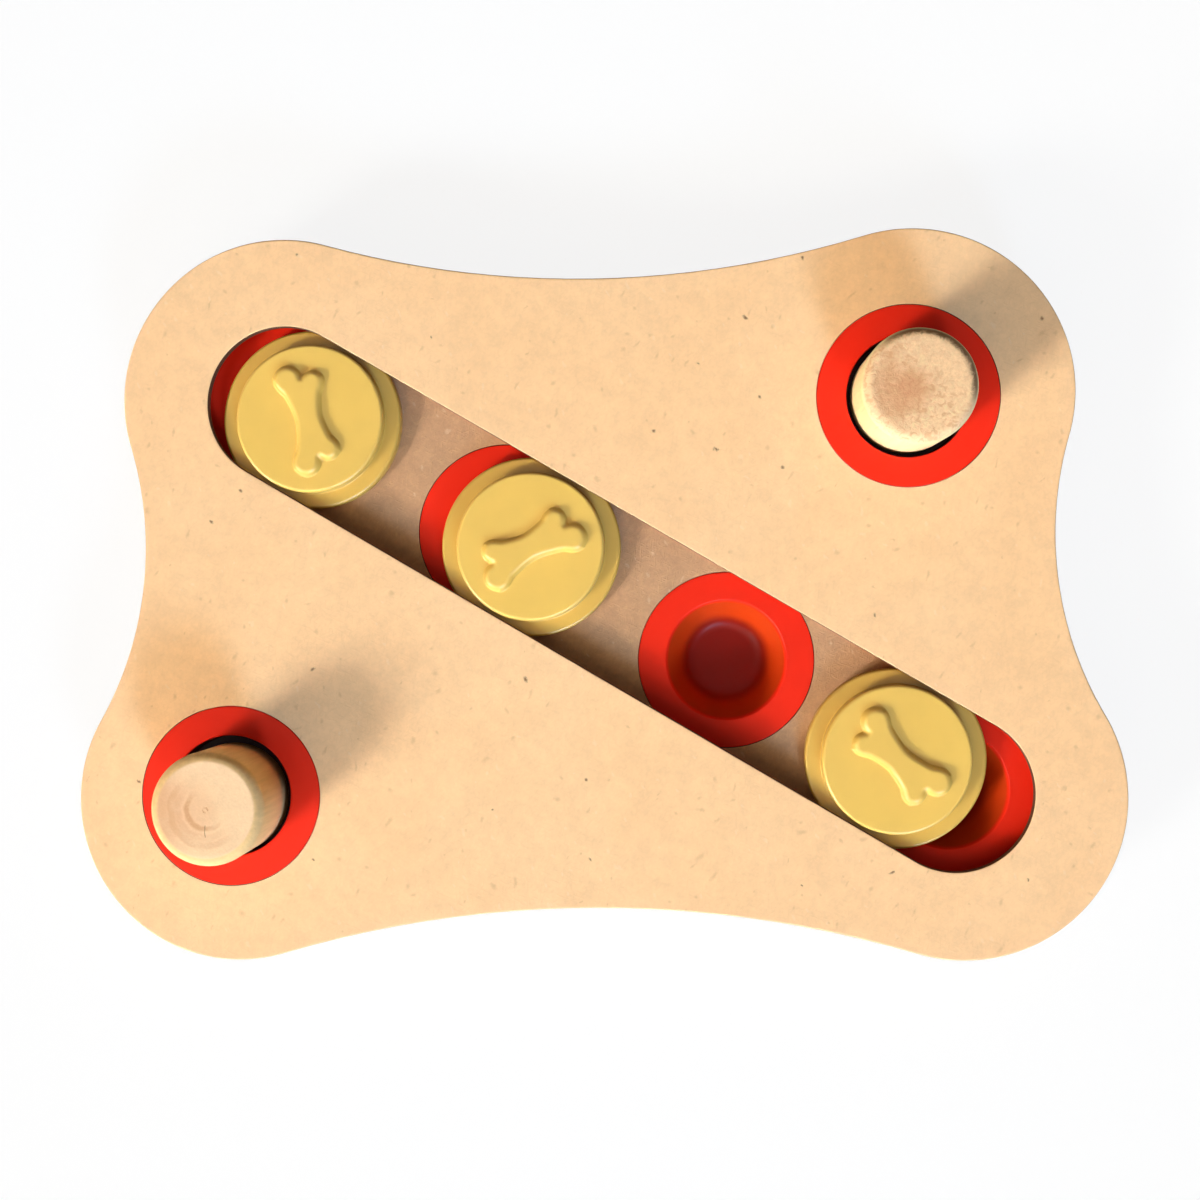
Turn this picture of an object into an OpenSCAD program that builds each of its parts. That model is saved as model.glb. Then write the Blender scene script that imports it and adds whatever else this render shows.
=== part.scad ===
// Puzzle feeder board for dogs: a four-lobed board of glued MDF layers with a slanting
// track, three captive sliders that cover four treat cups, and two pegs in corner cups.
// Millimetres, +Z up, origin under the middle of the board on the surface it stands on.

/* [Board outline] */
// Overall length, across the two lower lobes
board_length = 310; // [290:1:372]
// Overall depth, across the upper and lower lobes
board_depth = 214.6; // [205:0.2:258]
// How much further in each upper lobe stands than the lower one
lobe_step = 14.3; // [11:0.1:18]
// Radius of the four rounded lobes
lobe_r = 47.8; // [42:0.2:57]
// Radius of the hollow between the upper lobes
upper_waist_r = 288; // [240:1:346]
// Radius of the hollow between the lower lobes
lower_waist_r = 332; // [277:1:399]
// Radius of the hollow at each short side
side_waist_r = 105; // [88:1:126]

/* [Layers] */
// Thickness of the top board, with the slot the slider discs stand in
top_board_t = 3; // [2.5:0.1:3.6]
// Thickness of the board with the wider channel that holds the slider flanges
channel_board_t = 5; // [4.2:0.1:6]
// Gap between the track cups and the base panel, which sets how thick the cup board is
under_cup_gap = 0.4; // [0.2:0.1:1]
// Thickness of the panel that closes the underside
base_panel_t = 3; // [2.5:0.1:3.6]

/* [Cup places] */
// How far the cup rows sit inside the lobe centres, front to back
row_inset = 1.2; // [0:0.1:3]
// How far the upper row sits inside the lobe centres, left to right
upper_row_inset = 0.7; // [0:0.1:3]
// How far the lower row is shifted to the left of its lobe centres
lower_row_shift = 2.2; // [0:0.1:4]
// How far the four track cups are shifted back towards the upper end of the track
track_cup_shift = 0.8; // [0:0.1:1]

/* [Track] */
// Gap between a slider's disc and the edge of the slot
slot_gap = 1.1; // [0.6:0.1:1.6]
// Gap between a slider's flange and the channel wall
channel_gap = 0.5; // [0.3:0.1:0.8]

/* [Sliders] */
// Diameter of the disc that stands up through the slot
disc_d = 44; // [36:0.1:53]
// How far the flange reaches under the top board on each side of the slot
flange_lip = 3.6; // [2.8:0.1:4.6]
// Vertical play of the flange between the cup board and the top board
slider_play = 0.6; // [0.3:0.1:1]
// How far the disc stands proud of the top board
disc_proud = 0.3; // [0:0.1:1]
// Rounding of the disc's top edge
disc_edge_r = 1; // [0.3:0.1:1.2]
// Rounding of the flange's top edge
flange_edge_r = 0.8; // [0.3:0.1:1.2]
// Wall around the moulded hollow in the underside, measured from the disc's side
slider_wall = 2.5; // [1.6:0.1:4]
// Thickness of the disc's top skin above that hollow
skin_t = 2.4; // [1.8:0.1:2.9]
// Distance of each slider from the cup it stands by, down the track
slider_offsets = [9.4, 9.2, -18.7]; // [-22:0.1:22]

/* [Bone relief] */
// Distance between the bone's two ends, each measured midway between its knuckles
bone_span = 22.6; // [18.8:0.1:26]
// How much further out an end's large knuckle sits than its small one
bone_splay = 2.4; // [0:0.1:3]
// Distance across the bone between the two knuckles at one end
knuckle_gap = 7.1; // [6:0.1:8.5]
// Radius of the two large knuckles, both on the same side of the bone
large_knuckle_r = 3.6; // [3:0.05:4.3]
// Radius of the two small knuckles on its other side
small_knuckle_r = 2.85; // [2.4:0.05:3.4]
// Width of the bone at its middle
bone_waist = 7; // [5.8:0.1:8.4]
// How far the notch between two knuckles stays outside the line through their centres
notch_out = 0.6; // [0:0.1:1.2]
// Height of the relief above the disc
bone_h = 2; // [0.8:0.1:2.4]
// Direction of each slider's bone, seen from above
bone_angles = [283, 27, 135]; // [0:1:360]

/* [Cups] */
// Diameter of a cup's open mouth
mouth_d = 36; // [30:0.5:43.5]
// How far a track cup's side slopes in from its mouth to its floor
cup_taper = 7; // [5:0.1:9]
// Depth of a track cup
cup_depth = 12; // [10:0.1:14.4]
// Wall thickness of every cup
cup_wall = 1.6; // [1.2:0.1:2]
// Width of a track cup's flange, from the cup's body to its rim
cup_flange_w = 6.6; // [5:0.1:8]
// Thickness of a track cup's flange
cup_flange_t = 1.8; // [1.5:0.1:2.2]
// Width of a peg cup's flange, which lies flush in the top board
peg_cup_flange_w = 7.1; // [5:0.1:8.6]
// Depth of the socket that the peg stands in
socket_depth = 9; // [7.5:0.1:10.8]
// Width of the ledge that the peg stands on, inwards from the peg's side
pocket_ledge = 2.4; // [1.8:0.1:3]
// How far the side of the treat pocket under the peg slopes in
pocket_taper = 2; // [1:0.1:3]
// Depth of the treat pocket under the peg
pocket_depth = 6; // [5:0.1:7.2]
// Gap between a cup and the wood it sits in
seat_gap = 0.15; // [0.05:0.05:0.4]
// Bevel at the mouth of a cup
mouth_bevel = 0.5; // [0.2:0.1:0.8]

/* [Pegs] */
// Gap between a peg and its socket
peg_gap = 1.6; // [0.8:0.1:2]
// Length of a peg
peg_length = 33; // [28:0.5:40]
// Rounding of a peg's top edge
peg_top_r = 3; // [1:0.1:4]
// Rounding of a peg's bottom edge
peg_bottom_r = 1.2; // [0.5:0.1:2]
// How far the upper peg stands from the middle of its loose socket, as a share of the gap
upper_peg_shift = [0.06, 0.06]; // [-0.7:0.01:0.7]
// How far the lower peg stands from the middle of its loose socket, as a share of the gap
lower_peg_shift = [-0.44, -0.69]; // [-0.7:0.01:0.7]

/* [Feet] */
// Diameter of a rubber foot
foot_d = 18; // [15:0.5:22]
// Height of a rubber foot
foot_h = 2.5; // [2.1:0.1:3]
// Distance of a foot's rim from the board's edge
foot_inset = 4.8; // [3:0.1:7]
// Diameter of a foot screw's shank
screw_d = 3.4; // [2.8:0.1:4]
// Diameter of a foot screw's head
screw_head_d = 7; // [6:0.1:8.4]
// Height of a foot screw's conical head
screw_head_h = 1.8; // [1.5:0.1:2]
// Length of the shank above the head
screw_length = 12; // [10:0.5:14]
// How far the head is sunk into the foot
screw_sink = 0.3; // [0.2:0.1:0.6]
// Gap around the screw in each hole that it passes
screw_gap = 0.2; // [0.1:0.05:0.4]
// Length of the crossed drive's arms, from end to end
drive_l = 4.2; // [3:0.1:5]
// Width of the crossed drive's arms
drive_w = 1; // [0.6:0.1:1.3]
// Depth of the crossed drive
drive_depth = 1; // [0.6:0.1:1.4]

/* [Hidden] */
$fn = 96;

// Overlap that lets a cut run clear through a face
cut = 1;
// Largest step between points on the outline, in degrees
arc_step = 4;
// Step between points on a rounded edge, in degrees
edge_step = 15;
// Points along each half of the bone's shaft
bone_steps = 8;
// How far the shaft's end reaches past a knuckle's centre, as a share of its radius
shaft_reach = 0.85;
// Power by which the shaft widens from its waist to its ends
shaft_flare = 1.5;

// Heights of the layers, from the underside up
cup_board_t = cup_depth + cup_wall + under_cup_gap;
base_panel_z = foot_h;
cup_board_z = base_panel_z + base_panel_t;
channel_z = cup_board_z + cup_board_t;
top_board_z = channel_z + channel_board_t;
top_z = top_board_z + top_board_t;

// Lobe centres
upper_lobe = [board_length / 2 - lobe_step - lobe_r, board_depth / 2 - lobe_r];
lower_lobe = [board_length / 2 - lobe_r, -board_depth / 2 + lobe_r];

// Corner cups sit at two lobes, and the track runs between the other two
row_y = upper_lobe.y - row_inset;
upper_cup_at = [upper_lobe.x - upper_row_inset, row_y];
lower_cup_at = [-lower_lobe.x - lower_row_shift, -row_y];
track_start = [-upper_cup_at.x, row_y];
track_end = [lower_lobe.x - lower_row_shift, -row_y];
track_vector = track_end - track_start;
track_length = norm(track_vector);
track_dir = track_vector / track_length;
track_angle = atan2(track_dir.y, track_dir.x);

// Four cups along the track, counted from its upper end
cup_pitch = track_length / 3;
track_cups = [for (i = [0:3]) track_start + track_dir * (i * cup_pitch - track_cup_shift)];

// Which cup each slider stands by
slider_cups = [0, 1, 3];
sliders = [for (i = [0:2]) track_cups[slider_cups[i]] + track_dir * slider_offsets[i]];

// Widths across the track: the disc in its slot, and the flange in its channel
slot_w = disc_d + 2 * slot_gap;
flange_d = slot_w + 2 * flange_lip;
channel_w = flange_d + 2 * channel_gap;
hollow_d = disc_d - 2 * slider_wall;

// Slider heights: the flange rests on the cup board
flange_t = channel_board_t - slider_play;
slider_h = top_z + disc_proud - channel_z;

// Diameters of the cups, their holes and the pegs
cup_body_d = mouth_d + 2 * cup_wall;
cup_hole_d = cup_body_d + 2 * seat_gap;
cup_floor_d = mouth_d - 2 * cup_taper;
cup_flange_d = cup_body_d + 2 * cup_flange_w;
peg_cup_flange_d = cup_body_d + 2 * peg_cup_flange_w;
peg_d = mouth_d - 2 * peg_gap;
pocket_d = peg_d - 2 * pocket_ledge;
pocket_floor_d = pocket_d - 2 * pocket_taper;

// Lobe centre and direction of each foot, which stands under the lobe's outer side
feet = [
    [-upper_lobe.x, upper_lobe.y, 135],
    [upper_lobe.x, upper_lobe.y, 45],
    [-lower_lobe.x, lower_lobe.y, 225],
    [lower_lobe.x, lower_lobe.y, 315]
];
foot_reach = lobe_r - foot_d / 2 - foot_inset;
function foot_at(i) =
    [feet[i].x, feet[i].y] + foot_reach * [cos(feet[i].z), sin(feet[i].z)];

// Height of a foot screw's tip: its head's flat face points down
screw_tip_z = screw_sink + screw_head_h + screw_length;

// Direction of a vector, in degrees from 0 to 360
function heading(v) = (atan2(v.y, v.x) + 360) % 360;

// Points on an arc from angle a0 to a1, without the first one
function arc(centre, r, a0, a1) =
    let (n = ceil(abs(a1 - a0) / arc_step))
    [for (i = [1:n]) let (a = a0 + (a1 - a0) * i / n) centre + r * [cos(a), sin(a)]];

// Centres of the three hollows beside the right-hand lobes. Each hollow is an arc that
// meets both of its lobes without a corner.
upper_waist_at =
    [0, upper_lobe.y + sqrt(pow(lobe_r + upper_waist_r, 2) - pow(upper_lobe.x, 2))];
lower_waist_at =
    [0, lower_lobe.y - sqrt(pow(lobe_r + lower_waist_r, 2) - pow(lower_lobe.x, 2))];
side_vector = upper_lobe - lower_lobe;
side_normal = [side_vector.y, -side_vector.x] / norm(side_vector);
side_waist_at = (upper_lobe + lower_lobe) / 2
    + side_normal * sqrt(pow(lobe_r + side_waist_r, 2) - pow(norm(side_vector) / 2, 2));

// Right half of the outline, clockwise from the top middle to the bottom middle
right_half =
    let (
        to_upper = heading(upper_lobe - upper_waist_at),
        upper_side = heading(side_waist_at - upper_lobe),
        lower_side = heading(side_waist_at - lower_lobe),
        to_lower = heading(lower_lobe - lower_waist_at)
    )
    concat(
        [upper_waist_at - [0, upper_waist_r]],
        arc(upper_waist_at, upper_waist_r, 270, to_upper),
        arc(upper_lobe, lobe_r, to_upper - 180, upper_side - 360),
        arc(side_waist_at, side_waist_r, upper_side - 180, lower_side + 180),
        arc(lower_lobe, lobe_r, lower_side, to_lower - 180),
        arc(lower_waist_at, lower_waist_r, to_lower, 90)
    );
outline = concat(
    right_half,
    [for (i = [len(right_half) - 2:-1:1]) [-right_half[i].x, right_half[i].y]]
);

// One layer of the board
module layer(z, t) {
    translate([0, 0, z])
        linear_extrude(t)
            polygon(outline);
}

// Straight cut with round ends along the track
module track_cut(w, z, t) {
    translate([track_start.x, track_start.y, z])
        rotate(track_angle) {
            translate([0, -w / 2, 0])
                cube([track_length, w, t]);
            cylinder(d = w, h = t);
            translate([track_length, 0, 0])
                cylinder(d = w, h = t);
        }
}

// Round hole from z upwards
module hole(at, d, z, t) {
    translate([at.x, at.y, z])
        cylinder(d = d, h = t);
}

module top_board() {
    color("burlywood")
        difference() {
            layer(top_board_z, top_board_t);
            track_cut(slot_w, top_board_z - cut, top_board_t + 2 * cut);
            for (at = [upper_cup_at, lower_cup_at])
                hole(at, peg_cup_flange_d + 2 * seat_gap, top_board_z - cut, top_board_t + 2 * cut);
        }
}

module channel_board() {
    color("burlywood")
        difference() {
            layer(channel_z, channel_board_t);
            track_cut(channel_w, channel_z - cut, channel_board_t + 2 * cut);
            for (at = [upper_cup_at, lower_cup_at])
                hole(at, cup_hole_d, channel_z - cut, channel_board_t + 2 * cut);
        }
}

module cup_board() {
    color("tan")
        difference() {
            layer(cup_board_z, cup_board_t);
            for (at = concat(track_cups, [upper_cup_at, lower_cup_at]))
                hole(at, cup_hole_d, cup_board_z - cut, cup_board_t + 2 * cut);
            for (at = track_cups)
                hole(at, cup_flange_d + 2 * seat_gap, channel_z - cup_flange_t, cup_flange_t + cut);
            for (i = [0:3])
                hole(foot_at(i), screw_d + 2 * screw_gap, cup_board_z - cut,
                    screw_tip_z + screw_gap + cut - cup_board_z);
        }
}

module base_panel() {
    color("tan")
        difference() {
            layer(base_panel_z, base_panel_t);
            for (i = [0:3])
                hole(foot_at(i), screw_d + 2 * screw_gap, base_panel_z - cut, base_panel_t + 2 * cut);
        }
}

// Cup that hangs by its flange in the cup board: a cone with an even wall
module track_cup(i) {
    color("red")
        translate([track_cups[i].x, track_cups[i].y, channel_z])
            rotate_extrude()
                polygon([
                    [0, -cup_depth - cup_wall],
                    [cup_floor_d / 2 + cup_wall, -cup_depth - cup_wall],
                    [cup_body_d / 2, -cup_flange_t],
                    [cup_flange_d / 2, -cup_flange_t],
                    [cup_flange_d / 2, 0],
                    [mouth_d / 2 + mouth_bevel, 0],
                    [mouth_d / 2, -mouth_bevel],
                    [cup_floor_d / 2, -cup_depth],
                    [0, -cup_depth]
                ]);
}

// Cup with a straight socket for the peg and a smaller treat pocket under it
module peg_cup(at) {
    pocket_z = -socket_depth - pocket_depth;
    color("red")
        translate([at.x, at.y, top_z])
            rotate_extrude()
                polygon([
                    [0, pocket_z - cup_wall],
                    [pocket_floor_d / 2 + cup_wall, pocket_z - cup_wall],
                    [pocket_d / 2 + cup_wall, -socket_depth - cup_wall],
                    [cup_body_d / 2, -socket_depth - cup_wall],
                    [cup_body_d / 2, -top_board_t],
                    [peg_cup_flange_d / 2, -top_board_t],
                    [peg_cup_flange_d / 2, 0],
                    [mouth_d / 2 + mouth_bevel, 0],
                    [mouth_d / 2, -mouth_bevel],
                    [mouth_d / 2, -socket_depth],
                    [pocket_d / 2, -socket_depth],
                    [pocket_floor_d / 2, pocket_z],
                    [0, pocket_z]
                ]);
}

// Half width of the shaft on the side of the knuckles of radius r: it flares from the waist
// and ends inside the knuckle. It takes the place along the bone as a share, from -1 to 1.
function bone_half_w(share, r) =
    let (end_half_w = knuckle_gap / 2 + shaft_reach * r)
    bone_waist / 2 + (end_half_w - bone_waist / 2) * pow(abs(share), shaft_flare);

// Outline of the bone: two large and two small knuckles joined by the shaft
module bone_outline() {
    large_x = (bone_span + bone_splay) / 2;
    small_x = (bone_span - bone_splay) / 2;
    along = [for (i = [-bone_steps:bone_steps]) i / bone_steps];
    notch = [[large_x + notch_out, -knuckle_gap / 2], [small_x + notch_out, knuckle_gap / 2]];
    polygon(concat(
        [for (share = along) [share * large_x, -bone_half_w(share, large_knuckle_r)]],
        notch,
        [for (share = -along) [share * small_x, bone_half_w(share, small_knuckle_r)]],
        [for (point = [notch[1], notch[0]]) [-point.x, point.y]]
    ));
    for (side = [-1, 1]) {
        translate([side * large_x, -knuckle_gap / 2])
            circle(r = large_knuckle_r);
        translate([side * small_x, knuckle_gap / 2])
            circle(r = small_knuckle_r);
    }
}

// Slider: a flange captive in the channel, a disc through the slot and a bone relief
module slider(i) {
    color("khaki")
        translate([sliders[i].x, sliders[i].y, channel_z]) {
            rotate_extrude()
                polygon(concat(
                    [[0, slider_h - skin_t], [hollow_d / 2, slider_h - skin_t], [hollow_d / 2, 0]],
                    [[flange_d / 2, 0], [flange_d / 2, flange_t - flange_edge_r]],
                    edge(flange_d / 2, flange_t, flange_edge_r),
                    [[disc_d / 2, flange_t], [disc_d / 2, slider_h - disc_edge_r]],
                    edge(disc_d / 2, slider_h, disc_edge_r),
                    [[0, slider_h]]
                ));
            translate([0, 0, slider_h - skin_t / 2])
                rotate(bone_angles[i])
                    linear_extrude(skin_t / 2 + bone_h)
                        bone_outline();
        }
}

// Points of a rounded outer edge of radius r, from the side wall at x up to the top at y
function edge(x, y, r) =
    [for (a = [edge_step:edge_step:90]) [x - r, y - r] + r * [cos(a), sin(a)]];

// Turned peg, standing loosely on the step of its cup
module peg(at) {
    r = peg_d / 2;
    color("wheat")
        translate([at.x, at.y, top_z - socket_depth])
            rotate_extrude()
                polygon(concat(
                    [[0, 0]],
                    [for (a = [-90:edge_step:-edge_step])
                        [r - peg_bottom_r, peg_bottom_r] + peg_bottom_r * [cos(a), sin(a)]],
                    [[r, peg_bottom_r], [r, peg_length - peg_top_r]],
                    edge(r, peg_length, peg_top_r),
                    [[0, peg_length]]
                ));
}

// Profile of the countersunk head and shank, grown by g where it is a hole
module screw_solid(g) {
    rotate_extrude()
        polygon([
            [0, screw_sink],
            [screw_head_d / 2 + g, screw_sink],
            [screw_d / 2 + g, screw_sink + screw_head_h],
            [screw_d / 2 + g, screw_tip_z],
            [0, screw_tip_z]
        ]);
}

// Rubber foot with a countersunk hole for its screw
module foot(i) {
    at = foot_at(i);
    color("dimgray")
        translate([at.x, at.y, 0])
            difference() {
                cylinder(d = foot_d, h = foot_h);
                screw_solid(screw_gap);
                translate([0, 0, -cut])
                    cylinder(d = screw_head_d + 2 * screw_gap, h = screw_sink + cut);
            }
}

// The four screws, each with a crossed drive in its head
module foot_screws() {
    color("silver")
        for (i = [0:3])
            translate([foot_at(i).x, foot_at(i).y, 0])
                difference() {
                    screw_solid(0);
                    for (a = [0, 90])
                        rotate(a)
                            translate([-drive_l / 2, -drive_w / 2, screw_sink - cut])
                                cube([drive_l, drive_w, drive_depth + cut]);
                }
}

top_board();
channel_board();
cup_board();
base_panel();
track_cup(0);  // track_cup_1
track_cup(1);  // track_cup_2
track_cup(2);  // track_cup_3
track_cup(3);  // track_cup_4
peg_cup(upper_cup_at);  // upper_peg_cup
peg_cup(lower_cup_at);  // lower_peg_cup
slider(0);  // slider_1
slider(1);  // slider_2
slider(2);  // slider_3
peg(upper_cup_at + peg_gap * upper_peg_shift);  // upper_peg
peg(lower_cup_at + peg_gap * lower_peg_shift);  // lower_peg
foot(0);  // foot_upper_left
foot(1);  // foot_upper_right
foot(2);  // foot_lower_left
foot(3);  // foot_lower_right
foot_screws();
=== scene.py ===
"""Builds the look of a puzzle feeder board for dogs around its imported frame: MDF layers with
a slanting track, moulded cups and sliders, turned pegs, rubber feet and a plain studio."""

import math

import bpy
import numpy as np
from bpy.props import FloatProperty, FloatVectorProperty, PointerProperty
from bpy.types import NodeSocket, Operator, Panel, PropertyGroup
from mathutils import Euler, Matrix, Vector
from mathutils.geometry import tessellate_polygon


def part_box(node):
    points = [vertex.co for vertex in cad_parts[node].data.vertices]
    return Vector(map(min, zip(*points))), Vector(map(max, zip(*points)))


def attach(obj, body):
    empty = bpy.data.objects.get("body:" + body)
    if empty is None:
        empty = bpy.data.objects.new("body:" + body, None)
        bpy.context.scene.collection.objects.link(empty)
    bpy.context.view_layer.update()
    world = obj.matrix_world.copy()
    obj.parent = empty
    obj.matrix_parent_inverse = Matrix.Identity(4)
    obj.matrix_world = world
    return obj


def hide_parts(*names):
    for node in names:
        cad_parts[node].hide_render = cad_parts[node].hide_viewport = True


bl_info = {
    "name": "Puzzle Feeder Board",
    "version": (1, 0, 0),
    "blender": (4, 5, 0),
    "location": "View3D > Sidebar > Feeder",
    "description": "Models a four-lobed puzzle feeder board with sliding discs and lift-out pegs",
    "category": "Object",
}

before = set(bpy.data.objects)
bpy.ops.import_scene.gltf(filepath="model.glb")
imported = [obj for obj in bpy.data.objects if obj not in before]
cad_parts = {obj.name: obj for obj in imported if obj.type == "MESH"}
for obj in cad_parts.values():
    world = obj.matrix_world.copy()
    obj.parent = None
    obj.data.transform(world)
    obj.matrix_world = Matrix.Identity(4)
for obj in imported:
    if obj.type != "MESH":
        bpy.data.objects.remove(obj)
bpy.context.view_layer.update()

MM = 0.001
FLOOR_SPAN = 8.0  # metres
BOARD_BODY = "board"
TRACK_CUPS = ("track_cup_1", "track_cup_2", "track_cup_3", "track_cup_4")
PEG_CUPS = ("upper_peg_cup", "lower_peg_cup")
SLIDERS = ("slider_1", "slider_2", "slider_3")
FEET = ("foot_upper_left", "foot_upper_right", "foot_lower_left", "foot_lower_right")

# How finely the surfaces are drawn: sides of what is turned, longest steps along a profile,
# steps in degrees along an outline's arcs and round a peg's edges, lines across a disc and how
# far they crowd to its middle, the arcs of small roundings, and how near points are welded.
CUP_SIDES, PEG_SIDES, FOOT_SIDES = 192, 256, 96
CUP_STEP, PEG_STEP = 0.8 * MM, 0.35 * MM
OUTLINE_TURN, PEG_TURN = 1.5, 6
DISC_LINES, DISC_CROWD = 210, 0.66
FINE = 0.05 * MM
SHARP = {"support": FINE, "step": math.radians(18)}
WELD = 1e-8  # metres

# First seed of the pegs' hand-sanded unevenness.
WEAR_SEED = 11

# Where one colour on a piece gives way to the next: the first three place the painted shade
# on the flanges and in the cups, the last the pegs' end grain.
FLANGE_FADE = 0.6 * MM
MOUTH_RIM = 0.3 * MM
MOUTH_MARGIN = 0.1 * MM
END_FADE = 0.8 * MM


# ---------------------------------------------------------------- sizes from the frame

def corners(node):
    """Lowest and highest corner of a frame node, as arrays."""
    lo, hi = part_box(node)
    return np.array(lo), np.array(hi)


def centre(node):
    """Middle of a frame node in plan."""
    lo, hi = corners(node)
    return (lo[:2] + hi[:2]) / 2


def width(node):
    """Extent of a frame node along X."""
    lo, hi = corners(node)
    return float(hi[0] - lo[0])


def bottom(node):
    """Lowest height of a frame node."""
    return float(corners(node)[0][2])


def top(node):
    """Highest height of a frame node."""
    return float(corners(node)[1][2])


def srgb(red, green, blue):
    """Linear colour of an 8-bit display colour."""
    c = np.array([red, green, blue]) / 255
    return tuple(np.where(c <= 0.04045, c / 12.92, ((c + 0.055) / 1.055) ** 2.4).tolist())


# ---------------------------------------------------------------- settings

def length(name, description, default):
    """A length in metres that a user may change."""
    return FloatProperty(name=name, description=description, default=default, min=0.0,
                         precision=5, subtype="DISTANCE", unit="LENGTH")


def colour(name, description, default):
    """A colour that a user may change."""
    return FloatVectorProperty(name=name, description=description, default=default, size=3,
                               min=0.0, max=1.0, subtype="COLOR")


def share(name, description, default):
    """A factor from 0 to 1 that a user may change."""
    return FloatProperty(name=name, description=description, default=default, min=0.0, max=1.0,
                         subtype="FACTOR")


class FeederBoardSettings(PropertyGroup):
    """Sizes and colours of the MDF layers."""

    upper_length: length("Upper length", "Length across the two upper lobes", 281.4 * MM)
    lobe_radius: length("Lobe radius", "Radius of the rounded lobes", 47.8 * MM)
    upper_waist: length("Upper hollow", "Radius of the hollow between the upper lobes", 288 * MM)
    lower_waist: length("Lower hollow", "Radius of the hollow between the lower lobes", 332 * MM)
    side_waist: length("Side hollow", "Radius of the hollow at each short side", 105 * MM)
    slot_width: length("Slot width", "Width of the slot in the top board", 46.2 * MM)
    channel_gap: length("Channel gap", "Gap between a flange and the channel wall", 0.5 * MM)
    seat_gap: length("Seat gap", "Gap between a cup and its hole", 0.15 * MM)
    flange_thickness: length("Cup flange", "Thickness of a track cup's flange", 1.8 * MM)
    cup_body: length("Cup body", "Outer diameter of a cup under its flange", 39.2 * MM)
    rim_radius: length("Rim radius", "Rounding of the outermost edges", 0.5 * MM)
    slot_radius: length("Slot rounding", "Rounding of the slot's top edge", 0.4 * MM)
    arris: length("Arris", "Rounding of the edges between layers and at the cuts", 0.1 * MM)
    face: colour("Face", "Colour of the sanded faces", srgb(250, 206, 155))
    # Partly painted shade: the raw face is darker than the sanded one, partly to stand in for the
    # shade on the slot's floor. Its stronger mottle and fibres are its own.
    raw_shaded_face: colour("Raw face", "Colour of the unsanded face under the slot",
                     srgb(196, 152, 113))
    edge: colour("Edge", "Colour of the milled outer edges", srgb(214, 167, 117))
    # Painted shade: the cut colour is dark to stand in for the shade on the walls of the slot, the
    # channel and the holes, not for scorching.
    cut: colour("Cut", "Colour of the scorched walls of the cuts", srgb(98, 62, 42))
    tan_fleck: colour("Tan fleck", "Colour of the many faint flecks", srgb(214, 170, 122))
    pale_fleck: colour("Pale fleck", "Colour of the pale flecks", srgb(255, 234, 204))
    dark_fleck: colour("Dark fleck", "Colour of the few dark flecks", srgb(112, 66, 36))


class FeederCupSettings(PropertyGroup):
    """Sizes and colours of the cups."""

    flange_edge: length("Flange edge", "Rounding of a flange's upper edge", 0.25 * MM)
    flange_underside: length("Flange underside", "Rounding of its lower edge", 0.2 * MM)
    mouth_edge: length("Mouth edge", "Rounding of the mouth's edge", 0.6 * MM)
    neck: length("Neck", "Rounding under a track cup's flange", 0.3 * MM)
    foot: length("Foot", "Rounding of a cup's outside at its lowest edge", 1.5 * MM)
    floor_edge: length("Floor edge", "Rounding where a track cup's floor begins", 4 * MM)
    step_edge: length("Step edge", "Rounding of the peg socket's outer lower edge", 1 * MM)
    step_neck: length("Step neck", "Rounding of the inner corners outside a peg cup", 0.4 * MM)
    step_corner: length("Step corner", "Rounding inside the peg socket's lower corner", 0.5 * MM)
    pocket_edge: length("Pocket edge", "Rounding of the pocket's edge", 0.6 * MM)
    pocket_corner: length("Pocket corner", "Rounding where the pocket's floor begins", 1.6 * MM)
    mouth: length("Mouth", "Diameter of a cup's mouth", 36 * MM)
    floor: length("Floor", "Diameter of a track cup's floor", 22 * MM)
    depth: length("Depth", "Depth of a track cup", 12 * MM)
    wall: length("Wall", "Wall thickness", 1.6 * MM)
    socket_depth: length("Socket depth", "Depth of the peg's socket", 9 * MM)
    pocket: length("Pocket", "Diameter of the pocket under a peg", 28 * MM)
    pocket_floor: length("Pocket floor", "Diameter of that pocket's floor", 24 * MM)
    pocket_depth: length("Pocket depth", "Depth of that pocket", 6 * MM)
    plastic: colour("Plastic", "Colour of the cups", srgb(240, 44, 22))
    # Painted shade: these wall and floor colours are darker than the plastic. They stand in for the
    # shade inside the cups, darkest down the peg sockets.
    track_wall_shade: colour("Track cup wall", "Colour of the walls in a track cup", srgb(198, 58, 12))
    track_floor_shade: colour("Track cup floor", "Colour of the floor in a track cup", srgb(140, 24, 14))
    peg_socket_shade: colour("Peg socket wall", "Colour of the walls in a peg's socket", srgb(60, 12, 8))
    peg_pocket_shade: colour("Peg socket floor", "Colour of the pocket under a peg", srgb(40, 8, 8))


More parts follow.
